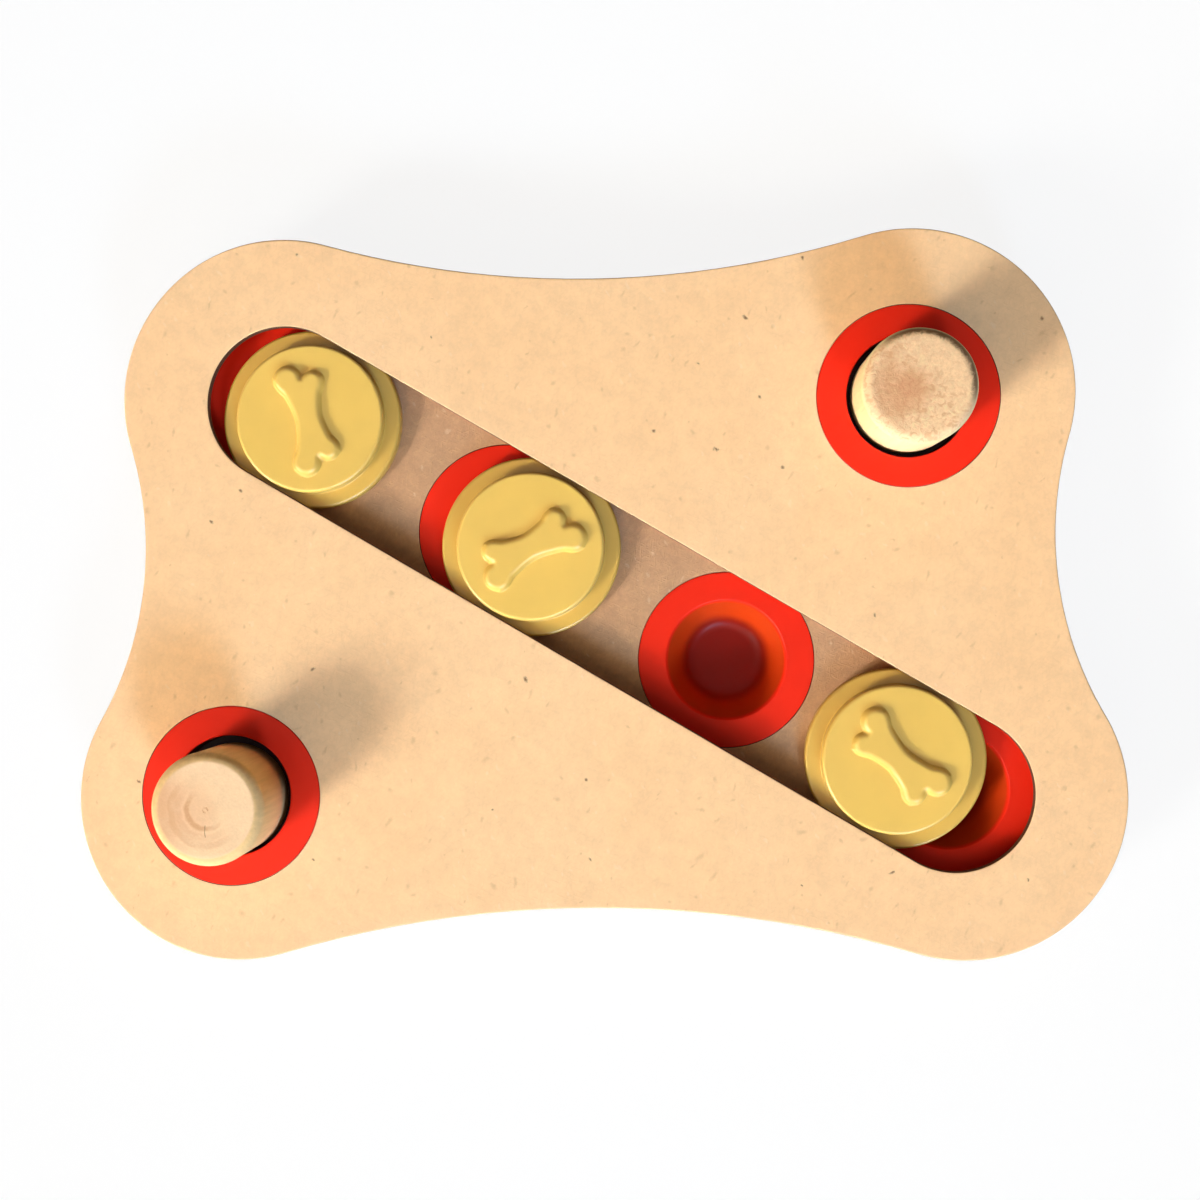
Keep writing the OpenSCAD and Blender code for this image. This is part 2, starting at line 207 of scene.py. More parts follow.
class FeederSliderSettings(PropertyGroup):
    """Sizes and colours of the sliders."""

    disc: length("Disc", "Diameter of the disc", 44 * MM)
    flange_thickness: length("Flange", "Thickness of the flange", 4.4 * MM)
    hollow: length("Hollow", "Diameter of the hollow underside", 39 * MM)
    skin: length("Skin", "Thickness of the disc over the hollow", 2.4 * MM)
    disc_edge: length("Disc edge", "Rounding of the disc's top edge", 1 * MM)
    ledge_corner: length("Ledge corner", "Rounding where the disc rises from its flange", 0.45 * MM)
    flange_edge: length("Flange edge", "Rounding of the flange's upper edge", 0.9 * MM)
    flange_underside: length("Flange underside", "Rounding of its lower edge", 0.4 * MM)
    hollow_edge: length("Hollow edge", "Rounding of the hollow's edge", 0.35 * MM)
    hollow_corner: length("Hollow corner", "Rounding of the hollow's upper corner", 0.8 * MM)
    bone_height: length("Bone height", "Height of the bone relief", 2 * MM)
    bone_span: length("Bone span", "Distance between the bone's ends", 22.6 * MM)
    bone_splay: length("Bone splay", "How much longer the large knuckles' side is", 2.4 * MM)
    knuckle_gap: length("Knuckle gap", "Distance between two knuckles at one end", 7.1 * MM)
    large_knuckle: length("Large knuckle", "Radius of the two large knuckles", 3.6 * MM)
    small_knuckle: length("Small knuckle", "Radius of the two small knuckles", 2.85 * MM)
    bone_waist: length("Bone waist", "Width of the bone at its middle", 7 * MM)
    bone_wall: length("Bone wall", "Width of the bone's rounded wall", 2.3 * MM)
    notch_out: length("Notch", "How far a notch stays outside its knuckles' line", 0.6 * MM)
    knuckle_blend: length("Knuckle blend", "How softly knuckles and shaft flow together", 1.1 * MM)
    shaft_reach: share("Shaft reach", "How far the shaft's end reaches past a knuckle's "
                       "centre, as a share of its radius", 0.85)
    shaft_flare: FloatProperty(name="Shaft flare", default=1.5, min=1.0,
                               description="Power by which the shaft widens to its ends")
    wall_roundness: FloatProperty(name="Wall roundness", default=3.0, min=1.0,
                                  description="Power by which the bone's wall rounds over")
    wall_out: share("Wall outside", "Share of the bone's wall outside its outline", 1 / 3)
    bone_angles: FloatVectorProperty(
        name="Bone angles", description="Direction of each slider's bone, seen from above",
        default=tuple(math.radians(a) for a in (283, 27, 135)), size=3, subtype="EULER",
        unit="ROTATION")
    plastic: colour("Plastic", "Colour of the sliders", srgb(231, 189, 89))
    # Painted shade: the flange colour is darker than the disc. It stands in for the shade that the
    # slot's walls and the disc cast on the flange, not for wear.
    flange: colour("Flange colour", "Colour of the flanges, rubbed dull by the channel",
                   srgb(215, 173, 76))


class FeederPegSettings(PropertyGroup):
    """Sizes and colours of the pegs."""

    top_radius: length("Top rounding", "Rounding of the top edge", 3 * MM)
    bottom_radius: length("Bottom rounding", "Rounding of the bottom edge", 1.2 * MM)
    torn_rim: length("Torn rim", "Width of side grain round the rough end", 0.5 * MM)
    clean_rim: length("Clean rim", "Width of side grain round the smooth end", 2.5 * MM)
    wear: length("Wear", "Depth of the slowest wave of unevenness in the side", 0.045 * MM)
    side: colour("Side", "Colour along the upper peg's grain", srgb(248, 226, 168))
    warm_side: colour("Warm side", "Colour along the lower peg's grain", srgb(244, 203, 142))
    torn_end: colour("Torn end", "Colour of the rough end grain", srgb(247, 206, 158))
    clean_end: colour("Clean end", "Colour of the smooth end grain", srgb(252, 213, 167))
    heart: colour("Heart", "Colour of heartwood and rings", srgb(212, 148, 104))
    # The pit colour also paints the shade on the rough end's rim at the upper right.
    pit_and_shade: colour("Pit", "Colour in the pores and cracks", srgb(118, 82, 54))


class FeederFootSettings(PropertyGroup):
    """Sizes and colours of the feet and their screws."""

    edge_radius: length("Edge rounding", "Rounding of a foot's lower edge", 0.7 * MM)
    rim_radius: length("Rim rounding", "Rounding of the well's rim and the upper edge", 0.2 * MM)
    crease: length("Crease", "Rounding inside the well", 0.15 * MM)
    well: length("Well", "Diameter of the well for the screw's head", 7.8 * MM)
    hole: length("Hole", "Diameter of the screw's hole", 3.8 * MM)
    lip: length("Lip", "Height of the well's straight lip", 0.3 * MM)
    cone: length("Cone", "Height at which the well has narrowed to the hole", 2.1 * MM)
    rubber: colour("Rubber", "Colour of the feet", srgb(44, 43, 42))
    zinc: colour("Zinc", "Colour of the screws", srgb(196, 196, 190))


class FeederStageSettings(PropertyGroup):
    """Camera, lamps and backdrop."""

    camera_place: FloatVectorProperty(
        name="Camera", description="Place of the camera", size=3, subtype="TRANSLATION",
        unit="LENGTH", default=(0.0227, 0.0002, 0.5064))
    camera_turn: FloatVectorProperty(
        name="Camera turn", description="Turn of the camera from looking straight down", size=3,
        subtype="EULER", unit="ROTATION",
        default=tuple(math.radians(a) for a in (-0.14, 2.55, -0.48)))
    lens: FloatProperty(name="Lens", description="Focal length in millimetres", default=48.7,
                        min=1.0)
    key_share: share("Key share", "Share of the top's light from the front left lamp", 0.47)
    fill_share: share("Fill share", "Share of the top's light from the front lamp", 0.44)
    soft_share: share("Soft share", "Share of the top's light from the wide lamp", 0.35)
    sky_share: share("Sky share", "Share of the top's light from all round", 0.12)
    key_tone: colour("Key tone", "Colour of the front left lamp", srgb(255, 253, 246))
    fill_tone: colour("Fill tone", "Colour of the front lamp", srgb(176, 214, 255))
    soft_tone: colour("Soft tone", "Colour of the wide lamp", srgb(255, 234, 206))
    sky_tone: colour("Sky tone", "Colour of the light from all round", srgb(255, 230, 198))
    floor_glow: share("Floor glow", "How much of the floor's white is its own", 0.88)


# ---------------------------------------------------------------- surfaces

def filleted(points, radii, support=0.12 * MM, step=math.radians(9)):
    """Polyline whose corners become arcs: each inner corner is cut back by r*tan(turn/2) on
    both sides and joined by an arc of radius r. A point is added close to each arc's ends,
    so that flat stretches shade flat."""
    points = np.asarray(points, float)
    out = [points[:1]]
    for before, corner, after, r in zip(points, points[1:], points[2:], radii):
        come = (corner - before) / np.linalg.norm(corner - before)
        leave = (after - corner) / np.linalg.norm(after - corner)
        turn = math.atan2(come[0] * leave[1] - come[1] * leave[0], float(come @ leave))
        cut = abs(r * math.tan(turn / 2))
        side = math.copysign(1.0, turn) * np.array([-come[1], come[0]])
        middle = corner - come * cut + side * r
        angles = np.linspace(0, turn, max(2, int(abs(turn) / step) + 2))
        spoke = -side * r
        arc = np.stack([spoke[0] * np.cos(angles) - spoke[1] * np.sin(angles),
                        spoke[0] * np.sin(angles) + spoke[1] * np.cos(angles)], axis=1)
        out += [[corner - come * (cut + support)], middle + arc,
                [corner + leave * (cut + support)]]
    out.append(points[-1:])
    return np.concatenate([np.asarray(o) for o in out])


def rounded(corner_points, **options):
    """Profile through corners given as (distance from the axis, height, rounding)."""
    table = np.array(corner_points)
    return filleted(table[:, :2], table[1:-1, 2], **options)


def spread(profile, pitch):
    """The same profile with extra points, so that no stretch is longer than pitch."""
    gap = np.linalg.norm(np.diff(profile, axis=0), axis=1)
    counts = np.maximum(1, np.ceil(gap / pitch).astype(int))
    parts = [a + (b - a) * (np.arange(n) / n)[:, None]
             for a, b, n in zip(profile, profile[1:], counts)]
    return np.concatenate(parts + [profile[-1:]])


def grid_faces(rows, columns, closed=True):
    """Four-sided faces of a grid numbered row by row. Closed joins the last column to the
    first. Faces point outwards where rows go up and columns go anticlockwise."""
    i = np.arange(rows - 1)[:, None] * columns
    j = np.arange(columns if closed else columns - 1)[None, :]
    k = (j + 1) % columns
    return np.stack([i + j, i + k, i + columns + k, i + columns + j], axis=-1).reshape(-1, 4)


def revolved(profile, angles):
    """Surface of revolution about Z: each profile point (r, z) at every angle a goes to
    (r cos a, r sin a, z)."""
    r, z = profile[:, :1], profile[:, 1:]
    x, y = r * np.cos(angles), r * np.sin(angles)
    points = np.stack([x, y, z + np.zeros_like(x)], axis=-1).reshape(-1, 3)
    return points, grid_faces(len(profile), len(angles))


def turned(count):
    """Evenly spaced angles round a circle."""
    return np.arange(count) * 2 * math.pi / count


def carried(path, outward, profile):
    """Profile carried along a closed path: path point p with outward direction n and profile
    point (d, z) give p + n*d at height z."""
    xy = path[None, :, :] + outward[None, :, :] * profile[:, None, :1]
    z = np.broadcast_to(profile[:, None, 1:], xy.shape[:2] + (1,))
    return np.concatenate([xy, z], axis=-1).reshape(-1, 3), grid_faces(len(profile), len(path))


def round_disc(radius, n, crowd):
    """Square grid of (n+1) x (n+1) points pressed into a disc: u, v in -1..1 go to
    u*sqrt(1 - v*v/2), v*sqrt(1 - u*u/2). Crowd draws the lines in towards the middle."""
    t = np.linspace(-1, 1, n + 1)
    t = t * (crowd + (1 - crowd) * t * t)
    u, v = np.meshgrid(t, t)
    x = radius * u * np.sqrt(1 - v * v / 2)
    y = radius * v * np.sqrt(1 - u * u / 2)
    ring = np.concatenate([np.arange(n), np.arange(n) * (n + 1) + n,
                           (n + 1) ** 2 - 1 - np.arange(n), (n - np.arange(n)) * (n + 1)])
    return x, y, ring


def welded(parts):
    """Joins surfaces given as (points, faces, material, smooth): points nearer than a
    hundredth of a micrometre become one, and four-sided faces that close up at a pole
    become triangles."""
    points = np.concatenate([p for p, _, _, _ in parts])
    shift = np.cumsum([0] + [len(p) for p, _, _, _ in parts])
    _, first, same = np.unique(np.round(points / WELD).astype(np.int64), axis=0,
                               return_index=True, return_inverse=True)
    same = same.reshape(-1)
    faces, material, smooth = [], [], []
    for (_, f, m, s), offset in zip(parts, shift):
        f = same[np.asarray(f) + offset]
        ahead = np.roll(f, -1, axis=1)
        doubled = f == ahead
        whole = f[~doubled.any(axis=1)]
        groups = [whole]
        if f.shape[1] == 4:
            for k in range(4):
                hit = f[doubled[:, k] & (doubled.sum(axis=1) == 1)]
                groups.append(np.delete(hit, k, axis=1))
        for g in groups:
            if len(g):
                faces.append(g)
                material.append(np.full(len(g), m))
                smooth.append(np.full(len(g), s))
    return points[first], faces, np.concatenate(material), np.concatenate(smooth)


def make_piece(name, parts, materials, node, body):
    """Makes one mesh object of welded surfaces, gives it its materials, and sets it on its
    body in place of its frame node. The object sits at the origin."""
    points, faces, material, smooth = welded(parts)
    mesh = bpy.data.meshes.new(name)
    loops = np.concatenate([f.ravel() for f in faces])
    sizes = np.concatenate([np.full(len(f), f.shape[1]) for f in faces])
    mesh.vertices.add(len(points))
    mesh.vertices.foreach_set("co", points.ravel())
    mesh.loops.add(len(loops))
    mesh.loops.foreach_set("vertex_index", loops)
    mesh.polygons.add(len(sizes))
    mesh.polygons.foreach_set("loop_start", np.concatenate([[0], np.cumsum(sizes)[:-1]]))
    mesh.polygons.foreach_set("material_index", material)
    mesh.polygons.foreach_set("use_smooth", smooth)
    mesh.update(calc_edges=True)
    mesh.validate()
    for m in materials:
        mesh.materials.append(m)
    piece = bpy.data.objects.new(name, mesh)
    bpy.context.scene.collection.objects.link(piece)
    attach(piece, body)
    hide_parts(node)
    return piece


def store(piece, name, values):
    """Keeps one number per vertex on a piece, for its material to read."""
    layer = piece.data.attributes.new(name, "FLOAT", "POINT")
    layer.data.foreach_set("value", np.asarray(values, np.float32))


def places(piece):
    """Vertex positions of a piece, as an array."""
    co = np.empty(len(piece.data.vertices) * 3)
    piece.data.vertices.foreach_get("co", co)
    return co.reshape(-1, 3)


def at(points, xy):
    """Points moved in plan by xy."""
    return points + np.array([xy[0], xy[1], 0.0])


# ---------------------------------------------------------------- outlines

def arc(middle, radius, start, end, side):
    """Points on an arc from angle start to end, without the last one, and the directions
    that lead away from the wood there: outwards on a lobe (side 1), inwards on a hollow."""
    n = max(2, int(abs(end - start) / math.radians(OUTLINE_TURN)) + 1)
    a = start + (end - start) * np.arange(n) / n
    spoke = np.stack([np.cos(a), np.sin(a)], axis=1)
    return np.asarray(middle) + radius * spoke, side * spoke


def heading(v):
    """Direction of a vector in plan, in radians from 0 to a full turn."""
    return math.atan2(v[1], v[0]) % (2 * math.pi)


def board_outline(s):
    """Four-lobed outline, anticlockwise: lobe arcs joined by hollow arcs that meet them
    without a corner. A hollow's centre lies lobe radius + hollow radius from both lobes."""
    lo, hi = corners("top_board")
    r = s.lobe_radius
    upper = np.array([s.upper_length / 2 - r, hi[1] - r])
    lower = np.array([hi[0] - r, lo[1] + r])
    over = np.array([0, upper[1] + math.sqrt((r + s.upper_waist) ** 2 - upper[0] ** 2)])
    under = np.array([0, lower[1] - math.sqrt((r + s.lower_waist) ** 2 - lower[0] ** 2)])
    run = upper - lower
    span = float(np.linalg.norm(run))
    beside = (upper + lower) / 2 + np.array([run[1], -run[0]]) / span * math.sqrt(
        (r + s.side_waist) ** 2 - (span / 2) ** 2)
    turn = 2 * math.pi
    mirror = np.array([-1.0, 1.0])
    right = [
        arc(under, s.lower_waist, math.pi / 2, heading(lower - under), -1),
        arc(lower, r, heading(under - lower), heading(beside - lower) + turn, 1),
        arc(beside, s.side_waist, heading(lower - beside), heading(upper - beside), -1),
        arc(upper, r, heading(beside - upper) - turn, heading(over - upper), 1),
        arc(over, s.upper_waist, heading(upper - over), math.pi * 1.5, -1),
    ]
    path = np.concatenate([p for p, _ in right])
    out = np.concatenate([n for _, n in right])
    top_point = [over - [0, s.upper_waist]]
    return (np.concatenate([path, top_point, path[:0:-1] * mirror]),
            np.concatenate([out, [[0.0, 1.0]], out[:0:-1] * mirror]))


def track_ends():
    """Centres of the slot's two round ends: on the line through the outer track cups, level
    with the upper peg cup and as far below the middle."""
    first, last = centre(TRACK_CUPS[0]), centre(TRACK_CUPS[3])
    along = (last - first) / np.linalg.norm(last - first)
    row = centre(PEG_CUPS[0])[1]
    start = first + along * (row - first[1]) / along[1]
    end = first + along * (-row - first[1]) / along[1]
    return start, end


def slot_outline(wide):
    """Slot with round ends, clockwise, with directions into the slot."""
    start, end = track_ends()
    run = heading(end - start)
    quarter = math.pi / 2
    near, into_near = arc(start, wide / 2, run + 3 * quarter, run + quarter, -1)
    far, into_far = arc(end, wide / 2, run + quarter, run - quarter, -1)
    return np.concatenate([near, far]), np.concatenate([into_near, into_far])


def hole_outline(xy, wide):
    """Round hole, clockwise, with directions into the hole."""
    return arc(xy, wide / 2, 2 * math.pi, 0, -1)


# ---------------------------------------------------------------- materials

def add(tree, kind, values=None, **settings):
    """Adds a shader node. Values fill its sockets by name or number; a socket is linked."""
    node = tree.nodes.new(kind)
    for key, value in settings.items():
        setattr(node, key, value)
    for key, value in (values or {}).items():
        if isinstance(value, NodeSocket):
            tree.links.new(value, node.inputs[key])
        else:
            node.inputs[key].default_value = value
    return node


def maths(tree, operation, a, b=0.0):
    """One arithmetic step."""
    return add(tree, "ShaderNodeMath", {0: a, 1: b}, operation=operation).outputs[0]


def plus(tree, a, b):
    """Sum of two values."""
    return maths(tree, "ADD", a, b)


def minus(tree, a, b):
    """Difference of two values."""
    return maths(tree, "SUBTRACT", a, b)


def times(tree, a, b):
    """Product of two values."""
    return maths(tree, "MULTIPLY", a, b)


def remap(tree, value, from_low, from_high, to_low=0.0, to_high=1.0):
    """Smoothly maps a value from one range to another, clamped."""
    return add(tree, "ShaderNodeMapRange",
               {0: value, 1: from_low, 2: from_high, 3: to_low, 4: to_high},
               interpolation_type="SMOOTHSTEP").outputs[0]


def blend(tree, factor, a, b, mode="MIX"):
    """Mixes two colours."""
    return add(tree, "ShaderNodeMix", {0: factor, 6: a, 7: b}, data_type="RGBA",
               blend_type=mode).outputs[2]


def tint(tree, base, value, low, high):
    """Colour multiplied by a grey between low and high, as value goes from 0 to 1."""
    grey = remap(tree, value, 0.3, 0.7, low, high)
    shade = add(tree, "ShaderNodeCombineColor", {0: grey, 1: grey, 2: grey}).outputs[0]
    return blend(tree, 1.0, base, shade, "MULTIPLY")


def noise(tree, where, scale, detail=3.0, roughness=0.55, distortion=0.0):
    """Noise of scale features per metre."""
    return add(tree, "ShaderNodeTexNoise",
               {"Vector": where, "Scale": scale, "Detail": detail, "Roughness": roughness,
                "Distortion": distortion}).outputs[0]


def stretched(tree, where, scale, turn=0.0, shift=(0.0, 0.0, 0.0)):
    """Coordinates turned about Z, shifted, and then scaled by three factors."""
    moved = add(tree, "ShaderNodeMapping", {"Vector": where, "Location": shift,
                                            "Rotation": (0.0, 0.0, turn)}).outputs[0]
    return add(tree, "ShaderNodeMapping", {"Vector": moved, "Scale": scale}).outputs[0]


def rgba(values):
    """Colour setting with full alpha."""
    return (*values, 1.0)


def new_material(name, **settings):
    """Material with a Principled surface, whose sockets take the settings. Returns it with its
    tree, shader and Object coordinates."""
    material = bpy.data.materials.new(name)
    material.use_nodes = True
    tree = material.node_tree
    shader = tree.nodes["Principled BSDF"]
    for key, value in settings.items():
        shader.inputs[key.replace("_", " ")].default_value = value
    where = add(tree, "ShaderNodeTexCoord").outputs["Object"]
    return material, tree, shader, where


def bumped(tree, shader, height, depth):
    """Raises the surface by height, which runs from 0 to 1, times depth in metres."""
    bump = add(tree, "ShaderNodeBump", {"Height": height, "Distance": depth})
    tree.links.new(bump.outputs[0], shader.inputs["Normal"])


def flecks(tree, where, per_metre, radius, chance, turn=0.0, slim=1.0, soft=0.35):
    """Ragged flecks seen in plan. Of the cells of a jittered grid a share called chance holds
    one, of uneven radius. Slim below 1 draws them out into slivers lying along turn. Soft is
    the share of its radius at which a fleck's edge starts to fade."""
    wander = add(tree, "ShaderNodeTexNoise", {"Vector": where, "Scale": per_metre * 0.45,
                                              "Detail": 2.0}).outputs["Color"]
    strayed = add(tree, "ShaderNodeVectorMath", {0: wander, 1: (1.6 / per_metre,) * 3, 2: where},
                  operation="MULTIPLY_ADD").outputs[0]
    lay = stretched(tree, strayed, (slim, 1.0, 1.0), turn)
    cells = add(tree, "ShaderNodeTexVoronoi", {"Vector": lay, "Scale": per_metre},
                voronoi_dimensions="2D")
    luck = add(tree, "ShaderNodeSeparateColor", {0: cells.outputs["Color"]}).outputs
    held = maths(tree, "LESS_THAN", luck[0], chance)
    reach = times(tree, plus(tree, luck[1], 0.4), radius * per_metre)
    edge = minus(tree, noise(tree, where, 0.9 / radius), 0.5)
    far = plus(tree, cells.outputs["Distance"], times(tree, edge, 1.3 * radius * per_metre))
    fades = remap(tree, maths(tree, "DIVIDE", far, reach), 1.0, soft)
    return times(tree, held, fades)


def strands(tree, where, per_metre, slim, turns):
    """Sparse short fibres: ridges of noise drawn out along each of the turns, each set
    shifted by its own turn so that no two are alike."""
    total = None
    for turn in turns:
        lay = stretched(tree, where, (slim, 1.0, 1.0), turn, (turn, turn, 0.0))
        ridge = remap(tree, noise(tree, lay, per_metre, detail=1.0, roughness=0.5), 0.58, 0.74)
        total = ridge if total is None else maths(tree, "MAXIMUM", total, ridge)
    return total


def toned(tree, colour_now, shows, strength, tone):
    """Colour mixed with a tone where a pattern shows, at most by strength."""
    return blend(tree, times(tree, shows, strength), colour_now, rgba(tone))


FIBRE_TURNS = (0.4, -0.9, 1.7, 2.6)  # ways the short fibres in a face lie, in radians


def mdf_face(name, s, base, mottle, fibre_share, pale_share):
    """MDF face: soft peach and yellow clouds, fine grain, short fibres lying every way, faint
    tan flecks and a few small dark ones. Mottle scales how uneven the colour is, and the
    shares say how strongly the fibres and the pale flecks show."""
    material, tree, shader, where = new_material(name, Specular_IOR_Level=0.25)
    fibres = strands(tree, where, per_metre=1500.0, slim=0.22, turns=FIBRE_TURNS)
    grain = noise(tree, where, 1300.0, roughness=0.6)
    warmth = noise(tree, where, 26.0, detail=2.0, roughness=0.5, distortion=0.4)
    peach = np.multiply(base, (1.0, 0.965, 0.93))
    colour_now = toned(tree, rgba(base), remap(tree, warmth, 0.35, 0.65), 0.5, peach)
    for per_metre, uneven in ((60.0, 0.013), (240.0, 0.021), (700.0, 0.014)):
        cloud = noise(tree, where, per_metre, detail=2.0, roughness=0.5)
        colour_now = tint(tree, colour_now, cloud, 1 - uneven * mottle, 1 + uneven * mottle)
    colour_now = tint(tree, colour_now, grain, 1 - 0.018 * mottle, 1 + 0.014 * mottle)
    colour_now = toned(tree, colour_now, fibres, fibre_share, s.tan_fleck)
    pale = flecks(tree, where, 330.0, 0.5 * MM, chance=0.16, turn=1.1, slim=0.5)
    colour_now = toned(tree, colour_now, pale, pale_share, s.pale_fleck)
    round_tans = flecks(tree, where, 140.0, 0.95 * MM, chance=0.26, soft=0.0)
    colour_now = toned(tree, colour_now, round_tans, 0.5, s.tan_fleck)
    tan_slivers = flecks(tree, where, 190.0, 0.6 * MM, chance=0.24, turn=2.0, slim=0.4, soft=0.0)
    colour_now = toned(tree, colour_now, tan_slivers, 0.5, s.tan_fleck)
    darks = flecks(tree, where, 75.0, 0.62 * MM, chance=0.13, turn=0.7, slim=0.8, soft=0.1)
    colour_now = toned(tree, colour_now, darks, 0.85, s.dark_fleck)
    tree.links.new(colour_now, shader.inputs["Base Color"])
    tree.links.new(remap(tree, grain, 0.3, 0.7, 0.60, 0.74), shader.inputs["Roughness"])
    raised = plus(tree, grain, times(tree, fibres, 0.5))
    bumped(tree, shader, minus(tree, raised, times(tree, darks, 0.3)), 0.03 * MM * mottle)
    return material


def mdf_edge(name, base):
    """Milled MDF edge: darker, with the fibre mat lying flat in thin level streaks."""
    material, tree, shader, where = new_material(name, Roughness=0.72, Specular_IOR_Level=0.2)
    mat = stretched(tree, where, (1.0, 1.0, 6.0))
    streaks = noise(tree, mat, 620.0, detail=5.0, roughness=0.65)
    grain = noise(tree, mat, 2600.0, detail=2.0, roughness=0.5)
    colour_now = tint(tree, rgba(base), streaks, 0.86, 1.08)
    colour_now = tint(tree, colour_now, grain, 0.93, 1.05)
    tree.links.new(colour_now, shader.inputs["Base Color"])
    bumped(tree, shader, plus(tree, streaks, grain), 0.06 * MM)
    return material


SCUFF_TURN = 0.53  # way of the fine scuffs on the plastic, in radians


def moulded(name, base, roughness, wall, floor, **settings):
    """Moulded plastic: an even colour with faint flow clouds, a fine spark-eroded grain and
    patches that use has rubbed smoother. Painted shade: where the piece's stored depth rises
    from 0 the colour turns to the shade colour wall at once, and to the deeper shade colour floor
    towards 1."""
    material, tree, shader, where = new_material(name, **settings)
    painted_shade = add(tree, "ShaderNodeAttribute", attribute_name="painted_shade").outputs["Fac"]
    # Painted shade: the colour darkens inside the cups and on the sliders' flanges, by the stored
    # depth.
    colour_now = blend(tree, remap(tree, painted_shade, 0.0, 0.12), rgba(base), rgba(wall))
    colour_now = blend(tree, remap(tree, painted_shade, 0.55, 1.0), colour_now, rgba(floor))
    colour_now = tint(tree, colour_now, noise(tree, where, 60.0), 0.965, 1.02)
    grain = noise(tree, where, 5200.0, detail=2.0, roughness=0.5)
    rub = noise(tree, where, 180.0, detail=4.0, roughness=0.65, distortion=0.6)
    drawn_out = stretched(tree, where, (0.08, 1.0, 1.0), SCUFF_TURN)
    scuffs = noise(tree, drawn_out, 900.0, roughness=0.6)
    worn = plus(tree, times(tree, rub, 0.6), times(tree, scuffs, 0.4))
    uneven = remap(tree, worn, 0.3, 0.7, roughness - 0.05, roughness + 0.07)
    tree.links.new(colour_now, shader.inputs["Base Color"])
    tree.links.new(uneven, shader.inputs["Roughness"])
    bumped(tree, shader, grain, 0.010 * MM)
    return material


def plan_places(tree, where, xy):
    """Plan coordinates about a point, and the distance from it."""
    local = stretched(tree, where, (1.0, 1.0, 1.0), 0.0, (-xy[0], -xy[1], 0.0))
    plan = add(tree, "ShaderNodeSeparateXYZ", {0: local}).outputs
    squares = [times(tree, plan[k], plan[k]) for k in (0, 1)]
    return plan[0], plan[1], maths(tree, "SQRT", plus(tree, *squares))


def band(tree, value, low, high, fade):
    """1 between low and high, fading out over fade on both sides."""
    return times(tree, remap(tree, value, low - fade, low),
                 remap(tree, value, high + fade, high))


PATCH_PLACE = np.array([-3.6, -1.0]) * MM  # the pinkish patch, from the torn end's middle


def torn_end_grain(tree, where, s, xy):
    """Rough end grain: soft worm-like torn fibres, a wide pinkish patch left of the middle, a
    darker band round the left, a few pits, and a ragged painted shade on the rim at the upper
    right, the side turned away from the lamps. Returns the colour and the relief."""
    x, y, reach = plan_places(tree, where, xy)
    clouds = noise(tree, where, 300.0, roughness=0.6, distortion=0.5)
    worms = noise(tree, where, 560.0, roughness=0.6, distortion=0.9)
    fuzz = noise(tree, where, 1300.0, roughness=0.6, distortion=0.6)
    quiet = remap(tree, plus(tree, x, y), 0.0, 14 * MM, 1.0, 0.35)
    dark = times(tree, remap(tree, worms, 0.49, 0.37), quiet)
    pale = times(tree, remap(tree, worms, 0.54, 0.66), quiet)
    colour_now = tint(tree, rgba(s.torn_end), clouds, 0.93, 1.02)
    colour_now = tint(tree, colour_now, fuzz, 0.94, 1.04)
    colour_now = toned(tree, colour_now, dark, 0.48, s.heart)
    colour_now = toned(tree, colour_now, pale, 0.46, s.side)
    _, _, from_patch = plan_places(tree, where, xy + PATCH_PLACE)
    ragged = plus(tree, from_patch, times(tree, clouds, 7 * MM))
    patch = remap(tree, ragged, 13 * MM, 6 * MM)
    colour_now = toned(tree, colour_now, patch, 0.72, s.heart)
    ring = band(tree, reach, 9 * MM, 12 * MM, 2 * MM)
    left_band = times(tree, remap(tree, x, -3 * MM, -9 * MM), ring)
    colour_now = toned(tree, colour_now, left_band, 0.42, s.heart)
    # Painted shade: the rim at the upper right, turned away from the lamps, is darkened with the
    # pit colour.
    upper_right = remap(tree, plus(tree, x, times(tree, y, 1.5)), 3 * MM, 15 * MM)
    uneven = plus(tree, reach, times(tree, worms, 3.4 * MM))
    rim = times(tree, remap(tree, uneven, 15.4 * MM, 17 * MM), upper_right)
    colour_now = toned(tree, colour_now, rim, 0.85, s.pit_and_shade)
    pits = flecks(tree, where, 330.0, 0.4 * MM, chance=0.07, turn=0.6, slim=0.8, soft=0.2)
    pits = times(tree, pits, remap(tree, reach, 3 * MM, 9 * MM))
    colour_now = toned(tree, colour_now, pits, 0.6, s.pit_and_shade)
    raised = plus(tree, times(tree, worms, 0.7), times(tree, fuzz, 0.4))
    return colour_now, minus(tree, raised, times(tree, pits, 0.5))


# Radius and half width in millimetres, and strength, of the rings in the clean end.
RINGS = ((6.8, 0.3, 0.66), (9.2, 0.5, 0.26), (11.2, 0.5, 0.32))


